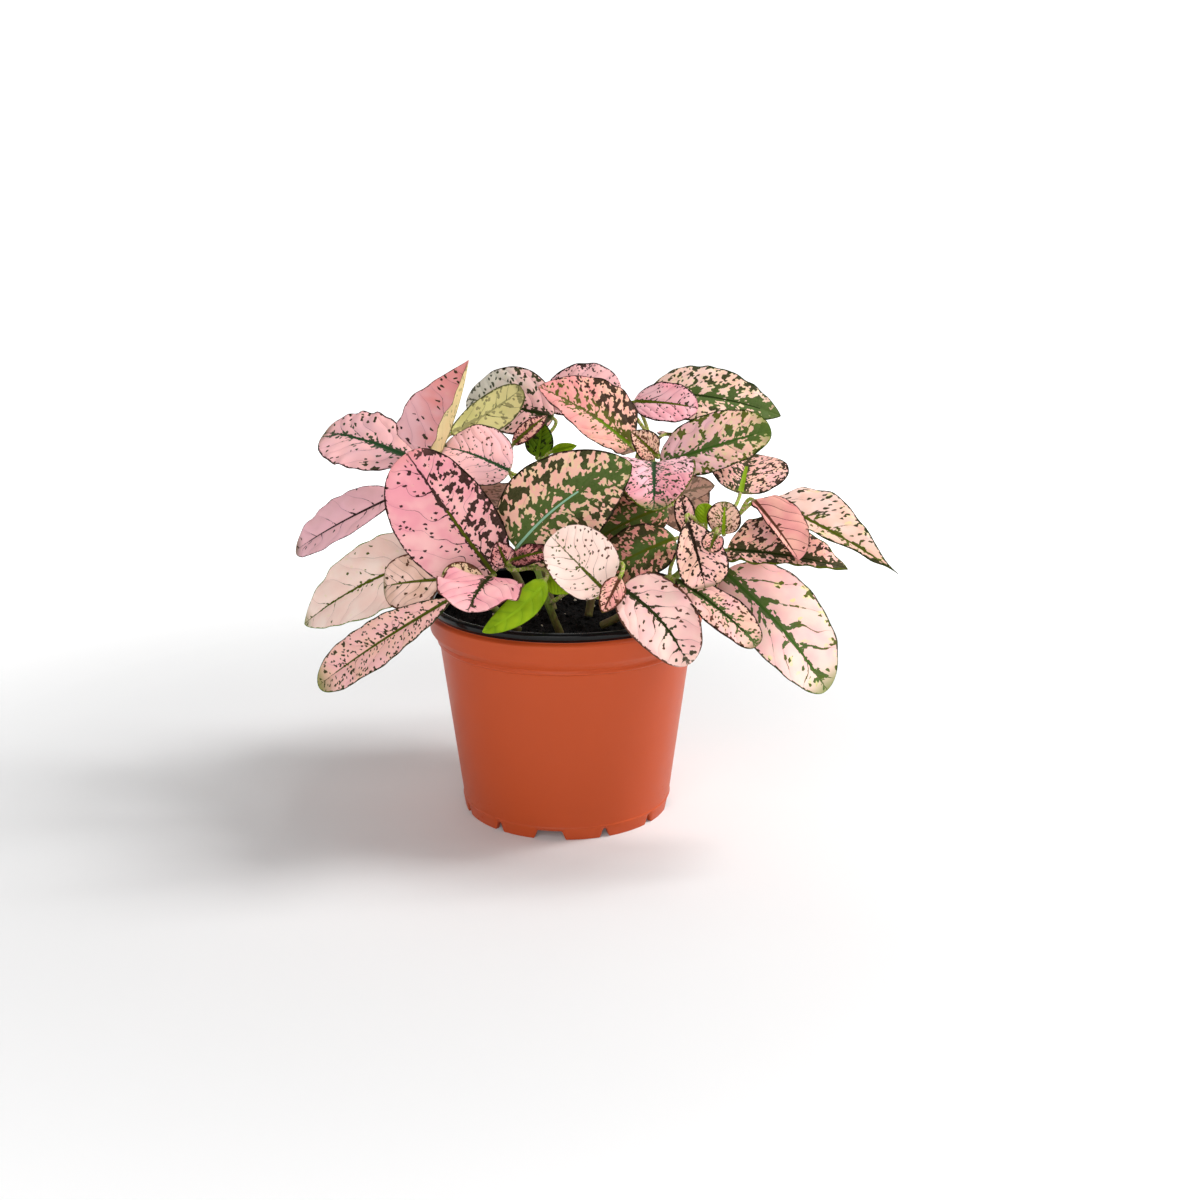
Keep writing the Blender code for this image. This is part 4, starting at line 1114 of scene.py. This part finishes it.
FINISHES = {
    "a1": LeafFinish(
        ORCHID, PINK, ink=PINE, green=TEAL, rib=TEAL, band=1.8, tree=0.8, tree_reach=0.45, spots=0,
        near_rib=0.2, near_edge=0.05, dash=0.05, halo=0.1,
    ),
    "a2": LeafFinish(
        CORAL, ORCHID, lean_along=-1, band=0.6, spots=-0.15, dash=0.05, halo=0.1, edge=SEPIA, edge_width=0.5,
        tip=CORAL, under=STRAW,
    ),
    "a3": LeafFinish(
        LAVENDER, ORCHID, green=BOTTLE, rib=BOTTLE, band=0.5, tree=0.55, tree_reach=0.55, spots=-0.22,
        near_rib=0.1, near_edge=0.05, dash=0.01, halo=0, edge_width=0.45,
    ),
    "a4": LeafFinish(STRAW, LIME, lean_along=-1, spots=0.2, edge=PINE, vein=0.9, under=STRAW),
    "b1": LeafFinish(
        CREAM, SHELL, ink=MOSS, green=MOSS, band=1.1, tree=0.4, spots=-0.1, near_rib=0.18, near_edge=0.1,
        dash=0.01, edge=GRASS, edge_width=0.5, tip=GRASS,
    ),
    "b2": LeafFinish(
        PINK, PEACH, ink=PINE, band=0.5, tree=0.3, spots=-0.02, near_rib=0, dash=0.14, size=0.9, edge=PINE,
        edge_width=0.6, tip=GRASS, tip_start=0.85,
    ),
    "b3": LeafFinish(
        PINK, ROSE, lean_along=0.8, green=BOTTLE, rib_reach=0.55, band=1.6, spots=0.16, near_rib=0.1,
        near_edge=0.22, more_left=-0.62, dash=0.04, halo=0.1, edge_width=0.7, tip=CORAL, vein=0.45,
    ),
    "b4": LeafFinish(
        PINK, ROSE, ink=SEPIA, rib=PINE, band=1.8, tree=0.7, tree_reach=0.35, spots=-0.15, near_rib=0.3,
        dash=0.02, halo=0, edge=SEPIA, tip=PINK,
    ),
    "b5": LeafFinish(
        PEACH, STRAW, ink=SEPIA, green=MOSS, spots=0.35, near_edge=0.4, dash=0.12, size=0.6, edge=SEPIA,
    ),
    "b6": LeafFinish(
        TAN, SHELL, ink=SEPIA, band=0.4, tree=0.2, spots=0, near_rib=0.1, near_edge=0.1, dash=0.03, halo=0,
        edge=SEPIA, vein=0.5,
    ),
    "c1": LeafFinish(
        PEACH, ink=PINE, green=FERN, rib=MINT, rib_reach=0.6, rib_width=0.5, band=2.4, tree=0.6, spots=0.5,
        near_rib=0.2, near_edge=0.1, size=1.35, halo=0.5, tip=GRASS,
    ),
    "c2": LeafFinish(
        SHELL, CREAM, ink=SEPIA, green=MOSS, rib_reach=0.45, band=0.6, tree=0.2, spots=-0.05, near_rib=0.1,
        dash=0.05, size=0.8, halo=0, edge=SEPIA, edge_width=0.25, tip=CREAM, vein=0.4,
    ),
    "c3": LeafFinish(
        PEACH, CORAL, ink=SEPIA, green=SEPIA, rib=SEPIA, band=0.4, spots=0.2, dash=0.1, size=0.6, edge=SEPIA,
    ),
    "c4": LeafFinish(MAROON, CORAL, ink=MAROON, spots=0.5, size=0.6, halo=0, under=MAROON),
    "c6": LeafFinish(CORAL, PINK, ink=MAROON, green=MAROON, near_edge=0.3, size=0.6, halo=0, edge=MAROON),
    "c7": PLAIN_GREEN,
    "c8": PLAIN_GREEN,
    "d1": LeafFinish(
        CORAL, lean_along=-1.2, green=MOSS, rib=GRASS, rib_reach=0.4, spots=0.24, near_rib=0.2,
        more_left=-0.5, more_tip=-0.5, dash=0.06, size=0.9, edge_width=0.5, tip=CORAL,
    ),
    "d2": LeafFinish(
        PEACH, SHELL, ink=PINE, green=FERN, rib=PINE, band=2.2, spots=0.42, near_rib=0.3, more_tip=0.35,
        dash=0.12, halo=0.45, edge=PINE, edge_width=0.7, tip_start=0.8,
    ),
    "d3": LeafFinish(
        ROSE, ORCHID, band=0.8, spots=-0.02, near_rib=0.1, near_edge=0.25, dash=0.06, size=0.75, halo=0,
        tip=ROSE,
    ),
    "d4": LeafFinish(
        PEACH, ORCHID, lean_along=-1.3, ink=MOSS, green=FERN, rib=FERN, band=2.4, tree=0.7, spots=0.28,
        near_rib=0.35, more_tip=0.4, halo=0.6, edge=PINE, tip=GRASS, tip_start=0.8,
    ),
    "d5": LeafFinish(
        ROSE, LAVENDER, lean_along=-1, ink=PINE, green=TEAL, rib=TEAL, rib_reach=0.95, band=1.6, tree=0.45,
        spots=0.22, near_rib=0.2, dash=0.12, size=0.8, halo=0.1, edge=MOSS, tip=GRASS, tip_start=0.82,
    ),
    # Painted shade: d6 takes the darkened pink of the foliage's shadow.
    "d6": LeafFinish(DUSK, CORAL, ink=PINE, green=FERN, spots=0.66, near_edge=0.2, size=0.9),
    "d7": LeafFinish(TAN, CORAL, spots=0.25, edge=SEPIA),
    "d8": LeafFinish(SALMON, TAN, ink=SEPIA, green=SEPIA, spots=0.35, dash=0.15, size=0.6),
    "d9": LeafFinish(PINK, PEACH, spots=0.42, tip=GRASS),
    "e1": LeafFinish(
        ORCHID, PINK, ink=SEPIA, green=TEAL, rib=TEAL, band=1.0, tree=0.4, spots=-0.1, near_rib=0.1,
        dash=0.04, size=0.75, halo=0, edge=PINE,
    ),
    "e2": LeafFinish(
        PINK, SAGE, lean_along=1.8, ink=PINE, rib=PINE, band=1.8, spots=0.05, near_edge=0.2, more_tip=-0.4,
        dash=0.12, halo=0.2, tip=SAGE, tip_start=0.6,
    ),
    "e3": LeafFinish(PINK, ORCHID, spots=0.15, near_edge=0.25, dash=0.06, size=0.75, halo=0, tip=PINK),
    "e4": LeafFinish(CORAL, TAN, ink=MAROON, green=MAROON, spots=0.4, size=0.6, edge=MAROON),
    "e5": DARK_GREEN,
    "e6": BUD_GREEN,
    "e7": LeafFinish(SALMON, PINK, spots=0.4, tip=GRASS),
    "e8": LeafFinish(PEACH, PINK, spots=0.34, near_rib=0.3),
    "e9": LeafFinish(ORCHID, PINK, green=TEAL, spots=0.25, near_rib=0.3),
    "f1": LeafFinish(
        PINK, PEACH, rib=LIME, rib_reach=0.6, rib_width=1.1, band=2.0, spots=0.32, near_rib=0.3,
        near_edge=0.35, dash=0.1, size=0.85,
    ),
    "f2": LeafFinish(
        PEACH, SHELL, lean_along=-0.6, ink=PINE, green=MOSS, band=1.8, tree=0.9, tree_reach=0.6, spots=0,
        near_rib=0.3, near_edge=0.3, size=1.5, halo=0.7, edge=PINE,
    ),
    "f3": LeafFinish(
        rib=PINE, band=1.5, spots=0.42, near_rib=0.4, near_edge=0.25, dash=0.06, size=1, edge=MOSS,
    ),
    "f4": LeafFinish(
        CORAL, ink=SEPIA, green=SEPIA, rib=SEPIA, band=0.4, tree=0.15, spots=-0.3, near_rib=0, near_edge=0.4,
        dash=0.02, halo=0, edge_width=0.45, tip=CORAL, vein=0.9,
    ),
    "f5": LeafFinish(PEACH, TAN, ink=SEPIA, green=MOSS, rib=LIME, dash=0.14, size=0.6),
    "f6": LeafFinish(CORAL, TAN, size=0.6),
    "f7": PLAIN_GREEN,
    "f8": LeafFinish(
        PINK, PEACH, green=BOTTLE, rib=BOTTLE, band=1.0, spots=0.22, near_edge=0.25, more_tip=-0.3, dash=0.1,
        size=0.85, halo=0.2,
    ),
    "f9": LeafFinish(green=BOTTLE, rib=BOTTLE, spots=0.35, near_edge=0.3, dash=0.12, size=0.8),
    "f10": LeafFinish(
        PINK, SHELL, lean_along=0.5, ink=MOSS, green=FERN, rib=FERN, band=2.6, tree=1.7, tree_reach=0.9,
        spots=-0.02, near_rib=0.2, near_edge=0.35, dash=0.03, size=1.7, halo=0.9, edge=PINE, tip=GRASS,
        tip_start=0.85,
    ),
    "f11": LeafFinish(
        PEACH, PINK, ink=SEPIA, green=FERN, rib=PINE, band=2.2, tree=1.2, spots=0.06, near_rib=0.35,
        near_edge=0.25, dash=0.16, size=1, halo=0.35,
    ),
    "f12": LeafFinish(
        SHELL, PINK, ink=SEPIA, rib=PINE, band=1.1, tree=0.8, spots=-0.12, near_rib=0.35, near_edge=0.05,
        dash=0.05, halo=0.2, edge=SEPIA, tip=SHELL,
    ),
    # Painted shade: f13 is partly coloured with the darkened pink of the foliage's shadow.
    "f13": LeafFinish(CORAL, DUSK, ink=PINE, green=FERN, spots=0.62, size=0.95, halo=0.25),
    "g1": LeafFinish(spots=0.4),
    "g2": LeafFinish(SALMON, PEACH, spots=0.45, near_rib=0.3),
    "g3": LeafFinish(PINK, SHELL, tree=0.8),
}


# ---- plant, studio ----


@dataclass
class Plant:
    """The whole potted plant."""

    pot: Pot
    soil: Soil

    def build(self) -> None:
        """Build every piece in order."""
        self.pot.build()
        self.soil.build()
        skin = ShootFinish().material()
        for name, shoot in SHOOTS.items():
            shoot.build([shape.place for leaf, shape in LEAVES.items() if leaf[0] == name], skin)
        for name, shape in LEAVES.items():
            Leaf(name, shape, FINISHES[name], SHOOTS[name[0]]).build()


@dataclass
class Studio:
    """Pale floor that glows as painted light, soft lamps and the camera."""

    camera_place: Point = (15.2, -639.0, 272.6)
    camera_pitch: float = 15.6
    lens: float = 45.0
    sensor: float = 36.0
    cove_radius: float = 2.4
    cove_bend: float = 1.0
    # Painted light: the floor's own glow, faint near the pot and full white from glow_radius outwards.
    floor_glow: float = 0.75
    shade_radius: float = 170.0
    glow_radius: float = 700.0
    faint: Colour = (0.06, 0.06, 0.06)
    white: Colour = (1.0, 1.0, 1.0)
    world_strength: float = 0.14

    def floor(self) -> None:
        """Lay the plain pale floor, a glowing disc that curves up into a low wall all round by a quarter
        circle.
        """
        turn = np.linspace(0, 2 * math.pi, 96, endpoint=False)
        bend = np.linspace(0, math.pi / 2, 24)
        out = self.cove_radius + self.cove_bend * np.sin(bend)
        radius = np.concatenate([[0.02, self.cove_radius * 0.5], out])
        height = np.concatenate([[0.0, 0.0], self.cove_bend * (1 - np.cos(bend))])
        radius, height = radius[:, None], height[:, None] + 0 * turn
        grid = np.stack([radius * np.cos(turn), radius * np.sin(turn), height], -1)
        quads, _ = tube_faces(len(radius), len(turn))
        mesh = bpy.data.meshes.new("floor")
        mesh.from_pydata(grid.reshape(-1, 3).tolist(), [], [*quads.tolist(), list(range(len(turn)))])
        mesh.shade_smooth()
        floor = bpy.data.objects.new("floor", mesh)
        bpy.context.scene.collection.objects.link(floor)
        graph = Graph("pale_glowing_floor", 0.9, Specular_IOR_Level=0.1, Base_Color=(0.8, 0.8, 0.8, 1.0))
        x, y, _ = graph.place()
        # Painted light: the floor glows faintly near the pot and fully white far off, so the backdrop reads
        # white.
        far = ((x * x + y * y) ** 0.5).ramp(self.shade_radius, self.glow_radius)
        glow = graph.mix(far, self.faint, self.white)
        graph.tree.links.new(glow, graph.shader.inputs["Emission Color"])
        graph.shader.inputs["Emission Strength"].default_value = self.floor_glow
        mesh.materials.append(graph.material)

    def lamp(self, name: str, place: Point, size: float, power: float) -> None:
        """Hang a soft square lamp that shines at the plant's middle.

        Args:
            name: The lamp's name.
            place: Where it hangs, in metres.
            size: Its side in metres.
            power: Its power in watts.
        """
        light = bpy.data.lights.new(name, "AREA")
        light.shape, light.size, light.energy = "SQUARE", size, power
        lamp = bpy.data.objects.new(name, light)
        bpy.context.scene.collection.objects.link(lamp)
        back = unit(np.array(place) - np.array((0.0, 0.0, 0.12)))
        lamp.location = place
        lamp.rotation_euler = (math.acos(back[2]), 0.0, math.atan2(back[0], -back[1]))

    def build(self) -> None:
        """Set up the studio."""
        self.floor()
        self.lamp("key", (0.95, 0.05, 1.15), 0.55, 20.0)
        self.lamp("fill", (-0.2, -1.4, 0.9), 1.1, 8.5)
        self.lamp("rim", (-0.1, 0.9, 1.2), 0.9, 3.0)
        world = bpy.data.worlds.new("studio")
        world.use_nodes = True
        background = world.node_tree.nodes["Background"]
        background.inputs["Color"].default_value = (*self.white, 1.0)
        background.inputs["Strength"].default_value = self.world_strength
        bpy.context.scene.world = world
        bpy.context.scene.view_settings.view_transform = "Standard"
        camera = bpy.data.cameras.new("camera")
        camera.lens, camera.sensor_width, camera.clip_start = self.lens, self.sensor, 0.01
        holder = bpy.data.objects.new("camera", camera)
        bpy.context.scene.collection.objects.link(holder)
        holder.location = [length * MM for length in self.camera_place]
        holder.rotation_euler = (math.radians(90 - self.camera_pitch), 0.0, 0.0)
        bpy.context.scene.camera = holder


def main() -> None:
    """Load the frame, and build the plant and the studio."""
    logging.basicConfig(level=logging.INFO, format="%(name)s: %(message)s")
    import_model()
    pot = Pot()
    Plant(pot, Soil(pot)).build()
    Studio().build()


if __name__ == "__main__":
    main()
